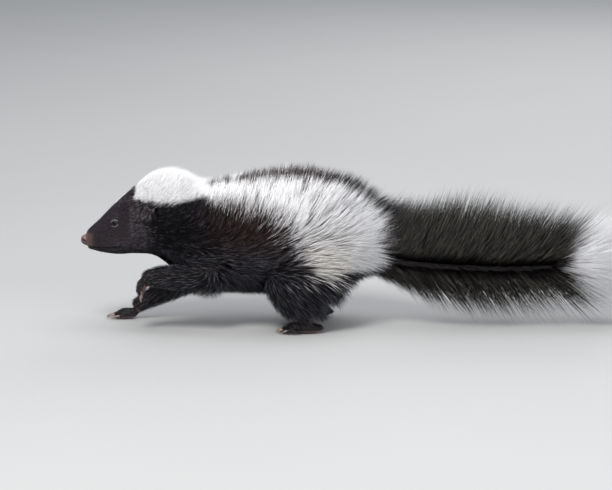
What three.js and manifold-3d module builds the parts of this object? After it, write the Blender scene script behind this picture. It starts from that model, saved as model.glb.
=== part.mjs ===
// A young striped skunk caught in mid stride, life size, in millimetres.
// +Z is up, the animal faces -X and its left side faces -Y. The origin is on the ground, under
// the middle of its box. Both hind feet and the right fore paw stand flat on the ground.

import * as THREE from "three";
import { mergeVertices } from "three/addons/utils/BufferGeometryUtils.js";
import Module from "manifold-3d";

const wasm = await Module();
wasm.setup();
const { Manifold, Mesh: ManifoldMesh } = wasm;

// Driving dimensions

const GAP = 0.3; // clearance between neighbouring pieces
const BODY_SIDES = 20; // facets round the trunk
const TAIL_SIDES = 10; // facets round the tail's core
const LIMB_SIDES = 10; // facets round a leg
const RINGS_PER_STATION = 2; // rings from one station of the trunk to the next
const SLAB_ROWS = 2.5; // rows of a white slab from one station to the next
const SLAB_COLUMNS = 5; // facets across a white slab
const SLAB_CLEAR = { edge: 3.5, top: 4, bottom: 2 }; // clearances that a grown slab gains there

// The trunk from the muzzle to the tail root, by upright sections. Each has its place along X,
// the heights of its back, belly and widest level, half its width, and how far the coat stands
// off it along the back (crest) and down the side (flank), out to its tips.
const TRUNK = [
  { at: "muzzle end", x: -160.5, top: 71.5, bottom: 60, mid: 66, half: 5.2, crest: 0, flank: 0 },
  { at: "bridge of the nose", x: -151, top: 81.5, bottom: 56.2, mid: 67, half: 10, crest: 0, flank: 0 },
  { at: "eyes", x: -138, top: 95.3, bottom: 54.5, mid: 71, half: 16.2, crest: 0, flank: 0 },
  { at: "forehead", x: -125, top: 106, bottom: 55.4, mid: 77, half: 21.6, crest: 1.2, flank: 0 },
  { at: "ears", x: -111, top: 112, bottom: 55, mid: 80, half: 23.8, crest: 5.6, flank: 0 },
  { at: "nape", x: -94, top: 112.5, bottom: 48, mid: 80, half: 25.4, crest: 7.6, flank: 1.5 },
  { at: "base of the neck", x: -77, top: 103, bottom: 36, mid: 73, half: 29.5, crest: 6.5, flank: 3.5 },
  { at: "shoulders", x: -58, top: 103.5, bottom: 29.5, mid: 71, half: 33.5, crest: 9.5, flank: 5 },
  { at: "ribs", x: -36, top: 106.5, bottom: 28.5, mid: 71, half: 36, crest: 11, flank: 6 },
  { at: "loin", x: -12, top: 109, bottom: 29, mid: 70, half: 37.5, crest: 11.5, flank: 7 },
  { at: "hips", x: 9, top: 107, bottom: 32, mid: 69, half: 36, crest: 12, flank: 8.5 },
  { at: "rump", x: 28, top: 95.5, bottom: 38, mid: 65, half: 30, crest: 16, flank: 11 },
  { at: "tail root", x: 42, top: 78, bottom: 46, mid: 61, half: 17.5, crest: 22, flank: 12 },
  { at: "rear end", x: 48, top: 67, bottom: 54, mid: 60, half: 7, crest: 26, flank: 12 },
];

const HEAD_CUT = { x: -102, z: 85, lean: 0.2 }; // plane between head and neck
const NECK_CUT = { x: -79, z: 72, lean: 0.2 }; // plane between neck and torso
const TAIL_CUT = { x: 51, z: 60, lean: 0 }; // plane between torso and tail
const TIP_CUT = { x: 188, z: 46, lean: 0 }; // plane between the dark tail and its white tip

// The white coat: a cap from the forehead to the nape, and a stripe down each side of the back.
// Angles are in a section, from 0 at the left side over 90 at the top to 180 at the right side.
const CAP = { from: 3.05, to: 6.45, depth: 7, lowAtForehead: 52, lowAtEars: 33, lowAtNeck: 30 };
const STRIPE = {
  from: 5.75,
  to: 12.3,
  depth: 9,
  low: [34, 36, 32, 14, -16, -30, -26],
  high: [88, 83, 78, 74, 70, 64, 52],
};

const COAT_RISE = { low: 0.2, high: 0.85 }; // sines of the angles between side coat and back coat
const BELLY_THIN = 0.45; // how much shorter the coat is under the belly
const CORE_SHARE = 0.12; // the part of the long coat's stand-off that is solid core
const LOCKS_BEGIN = { from: 5.4, to: 6.6 }; // stations over which the plush coat turns into locks

// Locks of the long coat. Each is flat and tapered, its root sunk into what it grows from. Ease
// draws its sections towards the tip, and clear says how many clearances it gains when grown.
const LOCK = {
  sink: 3.4,
  thick: 2.2,
  bow: 0.17,
  taper: [0.8, 1, 0.66],
  ease: 0.9,
  clear: { edge: 5, ridge: 2, tip: 4 },
};

// How much locks differ from one another, as shares of their sweep, width and reach.
const UNEVEN = { sweep: 0.4, width: 0.3, reach: 0.2, plumeReach: 0.16 };

// Rows of locks on the trunk: the stretch of stations, the angles they lie between, how many rows
// and how many in a row, how wide each is, how many stations further back its tip lies, and how
// far its flat face is turned about its own line, by turns to either side. Stray is how far a root
// may lie off its row, in stations and in degrees.
const STRIPE_LOCKS = {
  from: 6.15,
  to: 12.1,
  rows: 10,
  columns: [2, 2, 2, 3, 3, 2],
  stagger: 0.3,
  belowRidge: 5,
  width: 13,
  sweep: 0.66,
  turn: 40,
  stray: { along: 0.16, round: 4 },
  seeds: { left: 5, right: 11 },
};
const RIDGE_LOCKS = { from: 6.5, to: 12.6, rows: 10, spread: 10, width: 10, sweep: 0.6, turn: 75 };
const FLANK_LOCKS = {
  from: 6.8,
  to: 11.5,
  rows: 4,
  angles: [2, -36],
  width: 19,
  sweep: 0.95,
  turn: 14,
};
const REAR_LOCKS = {
  t: 12.3,
  angles: [-152, -121, -90, -59, -28],
  width: 12,
  sweep: 0.6,
  turn: 20,
};
const DARK_LOCKS = { stray: { along: 0.12, round: 6 }, seed: 23 };

// Locks of the tail: rows along it, places round it in degrees on even and odd rows, the width,
// the lean of the tips in stations, and the turn of the flat face above and below. Fork is how far
// pairs of locks part to either side.
const TAIL_CORE = 0.38; // the part of the plume that is solid core
const PLUME_LOCKS = { fork: 7, stray: { along: 0.2, round: 8 } };
const TAIL_LOCKS = {
  from: 0.35,
  to: 5.85,
  rows: 10,
  places: [[90, -90, 40, 140, -45, -135], [90, -90, 2, 178]],
  width: 16,
  lean: 0.85,
  turn: 80,
  seed: 31,
};
const TIP_LOCKS = {
  from: 0.15,
  to: 2.9,
  rows: 3,
  places: [[90, -90, 35, 145], [-30, -150, 70, -100]],
  width: 13,
  lean: 1.4,
  turn: 70,
  seed: 47,
};

const EYE = { x: -138.2, y: 12.3, z: 80.4, radius: 3.4, gazeForward: 0.42, gazeUp: 0.18 };
const LID = { width: 0.8, ring: 0.98, long: 1.12, high: 0.9, forward: 0.28 }; // shares of the eye
const EAR = { x: -111, y: 23.5, z: 89, width: 13, height: 15, thick: 3.2, turn: -32, lean: -14 };
const CUP = { rim: 2.2, deep: 0.9, forward: 0.85 }; // the ear's hollow, in shares of its thickness
const NOSE = { x: -160.4, z: 66.4, length: 8, width: 8.6, height: 8.4 };
const NOSTRIL = { depth: 2, width: 1.265, height: 1.15, turn: -50, forward: 0.34, out: 0.3, low: 0.4 };
const MOUTH = { cornerX: -133, cornerZ: 61.2, frontZ: 60.2 };
const LIP = { thick: 0.9, apart: 0.15, inset: 0.25, least: 0.5, from: 1.5, past: 1, joints: 4 };
const JAW = { front: 6, hinge: [3.5, 6, 8], drop: 3, floor: 30, width: 80 };

// Legs: centre line, half width across (r) and fore and aft (w) at each joint, from the body
// outwards. Y is away from the middle.
const FORE_RAISED = [
  { x: -72, y: 17, z: 62, r: 15.5, w: 15.5 },
  { x: -68, y: 24, z: 43, r: 13, w: 13 },
  { x: -86, y: 25, z: 41, r: 10.6, w: 10.6 },
  { x: -101, y: 24.5, z: 42.2, r: 8.8, w: 8.8 },
  { x: -111, y: 24, z: 41.3, r: 7.6, w: 7.4 },
  { x: -115, y: 24, z: 39.4, r: 6.8, w: 6.6 },
];
const FORE_REACHING = [
  { x: -74, y: 16, z: 58, r: 15, w: 15 },
  { x: -79, y: 22, z: 38, r: 12.5, w: 12.5 },
  { x: -94, y: 22.5, z: 26, r: 10, w: 10 },
  { x: -110, y: 22, z: 17.8, r: 8, w: 8 },
  { x: -120, y: 21.5, z: 12.4, r: 6.8, w: 6.8 },
  { x: -124.5, y: 21.5, z: 9, r: 6.4, w: 6.2 },
];
const HIND = [
  { x: 8, y: 16, z: 66, r: 21, w: 28 },
  { x: 6.5, y: 22, z: 50, r: 19.5, w: 32 },
  { x: 5, y: 25.5, z: 36, r: 16, w: 33 },
  { x: 3.5, y: 27, z: 24, r: 12.6, w: 29 },
  { x: 2, y: 27.5, z: 14, r: 9.6, w: 21 },
  { x: 3, y: 27.5, z: 9.5, r: 8.2, w: 15 },
];
const HIND_RIGHT_BACK = 8; // the right hind leg stands this much further back than the left

// Paws: the place of each heel, the length, width and height of the sole, and of toes and claws.
const PAW_RAISED = {
  x: -117.4,
  y: 24,
  z: 38.4,
  pitch: -76,
  length: 6,
  width: 12,
  height: 8.2,
  toe: 4.6,
  claw: 4,
};
const PAW_REACHING = {
  x: -126,
  y: 21.5,
  pitch: 0,
  length: 10,
  width: 13,
  height: 8.2,
  toe: 5.4,
  claw: 5.4,
};
const FOOT = {
  x: 14.5,
  y: 27.5,
  pitch: 0,
  length: 22,
  width: 13,
  height: 8.5,
  toe: 7,
  claw: 3.8,
};
const PALM_OVERHANG = 4; // how far the palm's block reaches past the sole at either end
const TOES = 5;

// A toe: its radius, how many degrees the outer ones turn outwards, how far they and the first
// one stand back, where it starts behind the ball and how high, and how much thicker it is there.
const TOE = {
  radius: 1.9,
  spread: 9,
  outerBack: 2.2,
  firstBack: 1.6,
  root: -4,
  rootRise: 1.6,
  endRise: 0.4,
  rootSwell: 1.25,
  sides: 5,
};
const CLAW = { from: 0.6, rootRise: 1.2, drop: 0.2, rootRadius: 1.1, tipRadius: 0.55, sides: 3 };
const FINGER = { shoulder: 0.8, end: 0.45 }; // where a rod stops tapering, and its blunt end
const LIMB_END = { swell: 0.6, reach: 0.55 }; // the rounded ends of a limb, in shares of its radius
const SOLE_SINK = 0.8; // how much of each sole is shaved off flat at the ground

// Tail: the line of its core, and how far the long hair reaches above, below and beside it.
const TAIL = [
  { x: 47.5, z: 60, up: 43, down: 23, side: 23 },
  { x: 62, z: 56, up: 43, down: 26, side: 23 },
  { x: 84, z: 51.5, up: 50, down: 36, side: 24 },
  { x: 110, z: 48, up: 55, down: 43, side: 26 },
  { x: 138, z: 46, up: 56, down: 41, side: 26 },
  { x: 166, z: 45.6, up: 47, down: 38, side: 24 },
  { x: 188, z: 46, up: 38, down: 37, side: 22 },
];
const TAIL_TIP = [
  { x: 188, z: 46, up: 38, down: 37, side: 22 },
  { x: 205, z: 46.5, up: 32, down: 35, side: 21 },
  { x: 228, z: 46, up: 26, down: 30, side: 16 },
  { x: 247, z: 45, up: 14, down: 17, side: 9 },
  { x: 256, z: 44.5, up: 3, down: 4, side: 3 },
];

const COLOURS = {
  black: { color: 0x17141a, roughness: 0.62, metalness: 0 },
  white: { color: 0xefecee, roughness: 0.75, metalness: 0 },
  skin: { color: 0x6b4a4a, roughness: 0.5, metalness: 0 },
  eye: { color: 0x0b0808, roughness: 0.08, metalness: 0 },
};

// Solids and meshes

const radians = THREE.MathUtils.degToRad;

/** A closed three.js geometry as a solid that can be joined and cut. */
function solidOf(geometry) {
  const bare = new THREE.BufferGeometry();
  bare.setAttribute("position", geometry.getAttribute("position"));
  if (geometry.index) bare.setIndex(geometry.index);
  const merged = mergeVertices(bare, 1e-4);
  return new Manifold(
    new ManifoldMesh({
      numProp: 3,
      vertProperties: merged.attributes.position.array,
      triVerts: new Uint32Array(merged.index.array),
    }),
  );
}

/** The largest closed surface of a solid as a named mesh. */
function meshOf(name, solid, colour) {
  const bodies = solid.decompose().sort((a, b) => b.volume() - a.volume());
  const { numProp, numVert, vertProperties, triVerts } = bodies[0].getMesh();
  const points = new Float32Array(numVert * 3);
  for (let i = 0; i < numVert; i++) {
    points.set(vertProperties.subarray(i * numProp, i * numProp + 3), i * 3);
  }
  const geometry = new THREE.BufferGeometry();
  geometry.setAttribute("position", new THREE.BufferAttribute(points, 3));
  geometry.setIndex(new THREE.BufferAttribute(triVerts, 1));
  const mesh = new THREE.Mesh(geometry, new THREE.MeshStandardMaterial(COLOURS[colour]));
  mesh.name = name;
  return mesh;
}

/** A closed geometry from rings of points, each ring closed by its first point, ends fanned shut. */
function skinRings(rings) {
  const sides = rings[0].length;
  const points = [];
  const faces = [];
  for (const ring of rings) points.push(...ring);
  for (let i = 0; i + 1 < rings.length; i++) {
    for (let j = 0; j < sides; j++) {
      const a = i * sides + j;
      const b = i * sides + ((j + 1) % sides);
      faces.push(a, b, a + sides, b, b + sides, a + sides);
    }
  }
  [0, rings.length - 1].forEach((end) => {
    const middle = rings[end].reduce((sum, p) => sum.add(p), new THREE.Vector3());
    const hub = points.push(middle.divideScalar(sides)) - 1;
    for (let j = 0; j < sides; j++) {
      const a = end * sides + j;
      const b = end * sides + ((j + 1) % sides);
      faces.push(...(end ? [a, b, hub] : [b, a, hub]));
    }
  });
  const geometry = new THREE.BufferGeometry().setFromPoints(points);
  geometry.setIndex(faces);
  return geometry;
}

/** A closed solid from rings, whichever way round they run. */
function solidFromRings(rings) {
  const made = solidOf(skinRings(rings));
  return made.volume() > 0 ? made : solidOf(skinRings(rings.map((ring) => [...ring].reverse())));
}

/** A smooth function of the station number through one number of each station. */
function smooth(stations, read) {
  const curve = new THREE.CatmullRomCurve3(
    stations.map((station, i) => new THREE.Vector3(i, read(station), 0)),
    false,
    "catmullrom",
    0.5,
  );
  return (t) => curve.getPoint(t / (stations.length - 1)).y;
}

/** A function of a share from 0 to 1 that runs in straight lines through evenly spaced values. */
function stepped(values) {
  return (share) => {
    const place = THREE.MathUtils.clamp(share, 0, 1) * (values.length - 1);
    const low = Math.min(Math.floor(place), values.length - 2);
    return THREE.MathUtils.lerp(values[low], values[low + 1], place - low);
  };
}

/** A box that holds everything on one side of a leaning plane across the body. */
function halfSpace(cut, side, shift) {
  const size = 600;
  const box = new THREE.BoxGeometry(size, size, size);
  box.translate((side * size) / 2, 0, 0);
  box.rotateY(Math.atan(cut.lean));
  box.translate(cut.x + shift, 0, cut.z);
  return solidOf(box);
}

/** What lies behind one leaning plane and in front of another, short of both by half a gap. */
function between(solid, front, rear) {
  let kept = solid;
  if (front) kept = kept.intersect(halfSpace(front, 1, GAP / 2));
  if (rear) kept = kept.intersect(halfSpace(rear, -1, -GAP / 2));
  return kept;
}

/** A source of even random numbers from 0 to 1 that gives the same ones at every run. */
function seeded(seed) {
  let state = seed;
  return () => {
    state = (state * 1664525 + 1013904223) % 4294967296;
    return state / 4294967296;
  };
}

/** A random number from minus to plus half of a spread. */
function off(draw, spread) {
  return spread * (draw() - 0.5);
}

/**
 * One flat, tapered lock from its root to its tip. It leaves along the outward direction and
 * bends over to the tip, with its flat face turned about its own line by an angle in degrees.
 * A clearance makes it wider, thicker and longer all round.
 */
function lockSolid({ root, tip, outward, width, turn = 0, grow = 0 }) {
  const reach = tip.clone().sub(root);
  const elbow = root.clone().addScaledVector(reach, 0.5);
  elbow.addScaledVector(outward, LOCK.bow * reach.length());
  const start = root.clone().addScaledVector(elbow.clone().sub(root).normalize(), -LOCK.sink);
  const line = new THREE.QuadraticBezierCurve3(start, elbow, tip);
  const end = tip.clone();
  const points = [];
  const faces = [];
  const last = LOCK.taper.length - 1;
  LOCK.taper.forEach((share, i) => {
    const place = (i / (last + 1)) ** LOCK.ease;
    const ahead = line.getTangent(place);
    const across = new THREE.Vector3().crossVectors(ahead, outward).normalize();
    across.applyAxisAngle(ahead, radians(turn));
    const rise = new THREE.Vector3().crossVectors(across, ahead);
    const middle = line.getPoint(place).addScaledVector(ahead, i === 0 ? -grow : 0);
    const half = (width / 2) * share + LOCK.clear.edge * grow;
    const ridge = LOCK.thick * share + LOCK.clear.ridge * grow;
    points.push(middle.clone().addScaledVector(across, half).addScaledVector(rise, -grow));
    points.push(middle.clone().addScaledVector(rise, ridge));
    points.push(middle.clone().addScaledVector(across, -half).addScaledVector(rise, -grow));
    if (i === last) {
      end.addScaledVector(tip.clone().sub(middle).normalize(), LOCK.clear.tip * grow);
      end.addScaledVector(rise, -grow);
    }
    for (let j = 0; j < 3 && i < last; j++) {
      const a = 3 * i + j;
      const b = 3 * i + ((j + 1) % 3);
      faces.push(a, b, a + 3, b, b + 3, a + 3);
    }
  });
  const point = points.push(end) - 1;
  const hem = 3 * last;
  faces.push(hem, hem + 1, point, hem + 1, hem + 2, point, hem + 2, hem, point, 0, 2, 1);
  const geometry = new THREE.BufferGeometry().setFromPoints(points);
  geometry.setIndex(faces);
  const made = solidOf(geometry);
  if (made.volume() > 0) return made;
  geometry.setIndex(faces.toReversed());
  return solidOf(geometry);
}

// Trunk

const trunk = {};
for (const key of ["x", "top", "bottom", "mid", "half", "crest", "flank"]) {
  trunk[key] = smooth(TRUNK, (station) => station[key]);
}
const LAST = TRUNK.length - 1;

/** A point of the trunk: t counts stations, angle is in degrees, out stands off the surface. */
function trunkPoint(t, angle, out = 0) {
  const a = radians(angle);
  const height = Math.sin(a) > 0 ? trunk.top(t) - trunk.mid(t) : trunk.mid(t) - trunk.bottom(t);
  const rearward = THREE.MathUtils.clamp((t - LAST + 3) / 3, 0, 1);
  const forward = THREE.MathUtils.clamp(1 - t, 0, 1);
  return new THREE.Vector3(
    trunk.x(t) + out * (rearward - forward),
    -Math.cos(a) * (trunk.half(t) + out),
    trunk.mid(t) + Math.sin(a) * (height + out),
  );
}

/** The whole trunk as one solid, with a coat that stands off it by a function of t and angle. */
function trunkSolid(out) {
  const rings = [];
  for (let i = 0; i <= LAST * RINGS_PER_STATION; i++) {
    const t = i / RINGS_PER_STATION;
    const ring = [];
    for (let j = 0; j < BODY_SIDES; j++) {
      const angle = (360 * j) / BODY_SIDES;
      ring.push(trunkPoint(t, angle, out(t, angle)));
    }
    rings.push(ring);
  }
  return solidFromRings(rings);
}

/** How far the coat stands off the trunk: most along the back, least on the belly. */
function coatReach(t, angle) {
  const lift = Math.sin(radians(angle));
  const back = THREE.MathUtils.smoothstep(lift, COAT_RISE.low, COAT_RISE.high);
  const side = trunk.flank(t) * (lift > 0 ? 1 : 1 + BELLY_THIN * lift);
  return THREE.MathUtils.lerp(side, trunk.crest(t), back);
}

/** How far the solid core stands off: the whole short coat up to the neck, then less and less. */
function coreReach(t, angle) {
  const locked = THREE.MathUtils.smoothstep(t, LOCKS_BEGIN.from, LOCKS_BEGIN.to);
  return coatReach(t, angle) * THREE.MathUtils.lerp(1, CORE_SHARE, locked);
}

/** A slab of the trunk's surface between two angles, from t0 to t1, grown by a clearance. */
function slab({ t0, t1, low, high, depth, grow, rise }) {
  const rows = Math.ceil((t1 - t0) * SLAB_ROWS);
  const across = SLAB_COLUMNS;
  const rings = [];
  for (let i = 0; i <= rows; i++) {
    const share = i / rows;
    const t = THREE.MathUtils.lerp(t0, t1, share);
    const margin = THREE.MathUtils.radToDeg((SLAB_CLEAR.edge * grow) / trunk.half(t));
    const from = low(share) - margin;
    const to = high(share) + margin;
    const ring = [];
    for (let j = 0; j <= across; j++) {
      const angle = THREE.MathUtils.lerp(from, to, j / across);
      ring.push(trunkPoint(t, angle, rise(t, angle) + SLAB_CLEAR.top * grow));
    }
    for (let j = across; j >= 0; j--) {
      const angle = THREE.MathUtils.lerp(from, to, j / across);
      ring.push(trunkPoint(t, angle, -depth - SLAB_CLEAR.bottom * grow));
    }
    const shift = i === 0 ? -grow : i === rows ? grow : 0;
    ring.forEach((p) => (p.x += shift));
    rings.push(ring);
  }
  return solidFromRings(rings);
}

/** One lock of the trunk's coat, from its root station and angle to its tip further back. */
function trunkLock({ t, angle, sweep, width, share, turn, grow }) {
  const root = trunkPoint(t, angle, coreReach(t, angle));
  const outward = trunkPoint(t, angle, coreReach(t, angle) + 1).sub(root).normalize();
  const tipAt = Math.min(t + sweep, LAST);
  const tip = trunkPoint(tipAt, angle, share * coatReach(tipAt, angle));
  return lockSolid({ root, tip, outward, width, turn, grow });
}

/** The locks of one white stripe. */
function stripeLocks(side, grow) {
  const { from, to, rows, stagger, stray, seeds } = STRIPE_LOCKS;
  const draw = seeded(side > 0 ? seeds.right : seeds.left);
  const low = stepped(STRIPE.low);
  const high = stepped(STRIPE.high);
  const locks = [];
  for (let i = 0; i < rows; i++) {
    const t = THREE.MathUtils.lerp(from, to, i / (rows - 1));
    const share = (t - STRIPE.from) / (STRIPE.to - STRIPE.from);
    const columns = Math.round(stepped(STRIPE_LOCKS.columns)(share));
    for (let j = 0; j < columns; j++) {
      const place = (j + 0.5 + stagger * ((i % 2) - 0.5)) / columns;
      const top = high(share) - STRIPE_LOCKS.belowRidge;
      const angle = THREE.MathUtils.lerp(low(share), top, place) + off(draw, stray.round);
      const options = {
        t: t + off(draw, stray.along),
        angle: side > 0 ? 180 - angle : angle,
        sweep: STRIPE_LOCKS.sweep * (1 + off(draw, UNEVEN.sweep)),
        width: STRIPE_LOCKS.width * (1 + off(draw, UNEVEN.width)),
        share: 1 + off(draw, UNEVEN.reach),
        turn: STRIPE_LOCKS.turn * ((i + j) % 2 ? 1 : -1),
        grow,
      };
      locks.push(trunkLock(options));
    }
  }
  return Manifold.union(locks);
}

/** The dark locks of the trunk: the ridge between the stripes, both flanks and the rear. */
function torsoLocks(grow) {
  const draw = seeded(DARK_LOCKS.seed);
  const locks = [];
  const put = (t, angle, { sweep, width, turn }) => {
    const options = {
      t: t + off(draw, DARK_LOCKS.stray.along),
      angle: angle + off(draw, DARK_LOCKS.stray.round),
      sweep: sweep * (1 + off(draw, UNEVEN.sweep)),
      width: width * (1 + off(draw, UNEVEN.width)),
      share: 1 + off(draw, UNEVEN.reach),
      turn: turn * (locks.length % 2 ? 1 : -1),
      grow,
    };
    locks.push(trunkLock(options));
  };
  for (let i = 0; i < RIDGE_LOCKS.rows; i++) {
    const share = i / (RIDGE_LOCKS.rows - 1);
    const t = THREE.MathUtils.lerp(RIDGE_LOCKS.from, RIDGE_LOCKS.to, share);
    put(t, 90 + RIDGE_LOCKS.spread * share * (i % 2 ? 1 : -1), RIDGE_LOCKS);
  }
  for (let i = 0; i < FLANK_LOCKS.rows; i++) {
    const t = THREE.MathUtils.lerp(FLANK_LOCKS.from, FLANK_LOCKS.to, i / (FLANK_LOCKS.rows - 1));
    for (const angle of FLANK_LOCKS.angles) {
      put(t, angle, FLANK_LOCKS);
      put(t, 180 - angle, FLANK_LOCKS);
    }
  }
  for (const angle of REAR_LOCKS.angles) put(REAR_LOCKS.t, angle, REAR_LOCKS);
  return Manifold.union(locks);
}

/** The white cap over the back of the head and the nape. */
function capSlab(grow) {
  const low = stepped([CAP.lowAtForehead, CAP.lowAtEars, CAP.lowAtEars, CAP.lowAtNeck]);
  return slab({
    t0: CAP.from,
    t1: CAP.to,
    low,
    high: (share) => 180 - low(share),
    depth: CAP.depth,
    grow,
    rise: coatReach,
  });
}

/** The white stripe on one side of the back: side is -1 for the left and 1 for the right. */
function stripeSlab(side, grow) {
  const low = stepped(STRIPE.low);
  const high = stepped(STRIPE.high);
  const mirrored = side > 0;
  return slab({
    t0: STRIPE.from,
    t1: STRIPE.to,
    low: (share) => (mirrored ? 180 - high(share) : low(share)),
    high: (share) => (mirrored ? 180 - low(share) : high(share)),
    depth: STRIPE.depth,
    grow,
    rise: coreReach,
  });
}

// Limbs

/** A tube of changing radius along joints, rounded at both ends and grown by a clearance. */
function tube(joints, side, grow = 0, sides = LIMB_SIDES) {
  const last = joints.length - 1;
  const line = new THREE.CatmullRomCurve3(
    joints.map((joint) => new THREE.Vector3(joint.x, side * joint.y, joint.z)),
    false,
    "catmullrom",
    0.5,
  );
  const breadth = smooth(joints, (joint) => joint.r);
  const length = smooth(joints, (joint) => joint.w);
  const across = new THREE.Vector3(0, 1, 0);
  const steps = last * 2;
  const rings = [];
  const ringAt = (t, share, push) => {
    const ahead = line.getTangent(t);
    const rise = new THREE.Vector3().crossVectors(ahead, across).normalize();
    const middle = line.getPoint(t).addScaledVector(ahead, push);
    const r = (breadth(t * last) + grow) * share;
    const w = (length(t * last) + grow) * share;
    const ring = [];
    for (let j = 0; j < sides; j++) {
      const a = (2 * Math.PI * j) / sides;
      ring.push(
        middle
          .clone()
          .addScaledVector(across, r * Math.cos(a))
          .addScaledVector(rise, w * Math.sin(a)),
      );
    }
    rings.push(ring);
  };
  ringAt(0, LIMB_END.swell, -LIMB_END.reach * (breadth(0) + grow));
  for (let i = 0; i <= steps; i++) ringAt(i / steps, 1, 0);
  ringAt(1, LIMB_END.swell, LIMB_END.reach * (breadth(last) + grow));
  return solidFromRings(rings);
}

/** A rounded block: an ellipsoid with the given half sizes. */
function ellipsoid(rx, ry, rz, columns = 12, rows = 8) {
  const shape = new THREE.SphereGeometry(1, columns, rows);
  shape.scale(rx, ry, rz);
  return shape;
}

/** A straight tapered rod with a blunt end, from one point to another. */
function finger(from, to, startRadius, endRadius, sides) {
  const ahead = to.clone().sub(from).normalize();
  const upward = new THREE.Vector3(0.1, 0.2, 1);
  const across = new THREE.Vector3().crossVectors(ahead, upward).normalize();
  const rise = new THREE.Vector3().crossVectors(across, ahead);
  const sections = [
    { share: 0, r: startRadius },
    { share: FINGER.shoulder, r: endRadius },
    { share: 1, r: endRadius * FINGER.end },
  ];
  const rings = sections.map(({ share, r }) => {
    const middle = from.clone().lerp(to, share);
    return Array.from({ length: sides }, (_, j) => {
      const a = (2 * Math.PI * j) / sides;
      return middle
        .clone()
        .addScaledVector(across, r * Math.cos(a))
        .addScaledVector(rise, r * Math.sin(a));
    });
  });
  return solidFromRings(rings);
}

/** A paw with its toes and claws, standing flat where it meets the ground. */
function pawSolid(paw, side) {
  const pose = new THREE.Matrix4()
    .makeTranslation(paw.x, side * paw.y, paw.z ?? paw.height / 2 - SOLE_SINK)
    .multiply(new THREE.Matrix4().makeRotationY(radians(paw.pitch)));
  const palm = ellipsoid(paw.length / 2 + PALM_OVERHANG, paw.width / 2, paw.height / 2, 10, 6);
  palm.translate(-paw.length / 2, 0, 0);
  palm.applyMatrix4(pose);
  const pieces = [solidOf(palm)];
  const ball = -paw.length;
  for (let i = 0; i < TOES; i++) {
    const spread = (i - (TOES - 1) / 2) / ((TOES - 1) / 2);
    const setBack = TOE.outerBack * spread ** 2 + (i === 0 ? TOE.firstBack : 0);
    const heading = radians(TOE.spread * spread);
    const place = (along, rise) =>
      new THREE.Vector3(
        ball + setBack - along * Math.cos(heading),
        spread * (paw.width / 2 - TOE.radius) + along * Math.sin(heading),
        rise,
      ).applyMatrix4(pose);
    const sole = -paw.height / 2 + TOE.radius;
    const root = place(TOE.root, sole + TOE.rootRise);
    const end = place(paw.toe, sole + TOE.endRise);
    pieces.push(finger(root, end, TOE.radius * TOE.rootSwell, TOE.radius, TOE.sides));
    const clawRoot = place(paw.toe * CLAW.from, sole + CLAW.rootRise);
    const clawTip = place(paw.toe + paw.claw, sole - CLAW.drop);
    pieces.push(finger(clawRoot, clawTip, CLAW.rootRadius, CLAW.tipRadius, CLAW.sides));
  }
  return Manifold.union(pieces);
}

/** Everything below the ground, which shaves the soles flat. */
function underground() {
  const box = new THREE.BoxGeometry(900, 300, 60);
  box.translate(0, 0, -30);
  return solidOf(box);
}

// Tail

/** A plume of hair round the tail, flat from side to side, by station and angle in degrees. */
function plume(stations) {
  const size = {};
  for (const key of ["x", "z", "up", "down", "side"]) size[key] = smooth(stations, (s) => s[key]);
  return (t, angle, share = 1) => {
    const a = radians(angle);
    const rise = Math.sin(a) > 0 ? size.up(t) : size.down(t);
    return new THREE.Vector3(
      size.x(t),
      Math.cos(a) * size.side(t) * share,
      size.z(t) + Math.sin(a) * rise * share,
    );
  };
}

/** The solid core of a plume. */
function plumeCore(stations) {
  const at = plume(stations);
  const rings = [];
  for (let i = 0; i <= (stations.length - 1) * RINGS_PER_STATION; i++) {
    const ring = [];
    for (let j = 0; j < TAIL_SIDES; j++) {
      ring.push(at(i / RINGS_PER_STATION, (360 * j) / TAIL_SIDES, TAIL_CORE));
    }
    rings.push(ring);
  }
  return solidFromRings(rings);
}

/** The locks of a plume from one station to another, with their tips leaning to the rear. */
function plumeLocks(stations, { from, to, rows, places, width, lean, turn, seed }) {
  const at = plume(stations);
  const end = stations.length - 1;
  const draw = seeded(seed);
  const locks = [];
  for (let i = 0; i < rows; i++) {
    for (const place of places[i % places.length]) {
      const row = THREE.MathUtils.lerp(from, to, i / (rows - 1));
      const t = row + off(draw, PLUME_LOCKS.stray.along);
      const hand = locks.length % 4 < 2 ? 1 : -1;
      const angle = place + PLUME_LOCKS.fork * hand + off(draw, PLUME_LOCKS.stray.round);
      const root = at(Math.max(t, 0), angle, TAIL_CORE);
      const outward = at(t, angle, 2 * TAIL_CORE).sub(root).normalize();
      const tipAt = Math.min(t + lean * (1 + off(draw, UNEVEN.sweep)), end);
      const tip = at(tipAt, angle, 1 + off(draw, UNEVEN.plumeReach));
      const upright = Math.sin(radians(place)) ** 2;
      const options = {
        width: width * (1 + off(draw, UNEVEN.width)),
        turn: hand * turn * upright,
      };
      locks.push(lockSolid({ root, tip, outward, ...options }));
    }
  }
  return Manifold.union(locks);
}

// Head parts

/** One eyeball; side is -1 for the left and 1 for the right. */
function eyeSolid(side, grow = 0) {
  const ball = ellipsoid(EYE.radius + grow, EYE.radius + grow, EYE.radius + grow, 12, 8);
  ball.translate(EYE.x, side * EYE.y, EYE.z);
  return solidOf(ball);
}

/** The way an eye looks: outwards, forwards and a little up. */
function gaze(side) {
  return new THREE.Vector3(-EYE.gazeForward, side, EYE.gazeUp).normalize();
}

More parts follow.
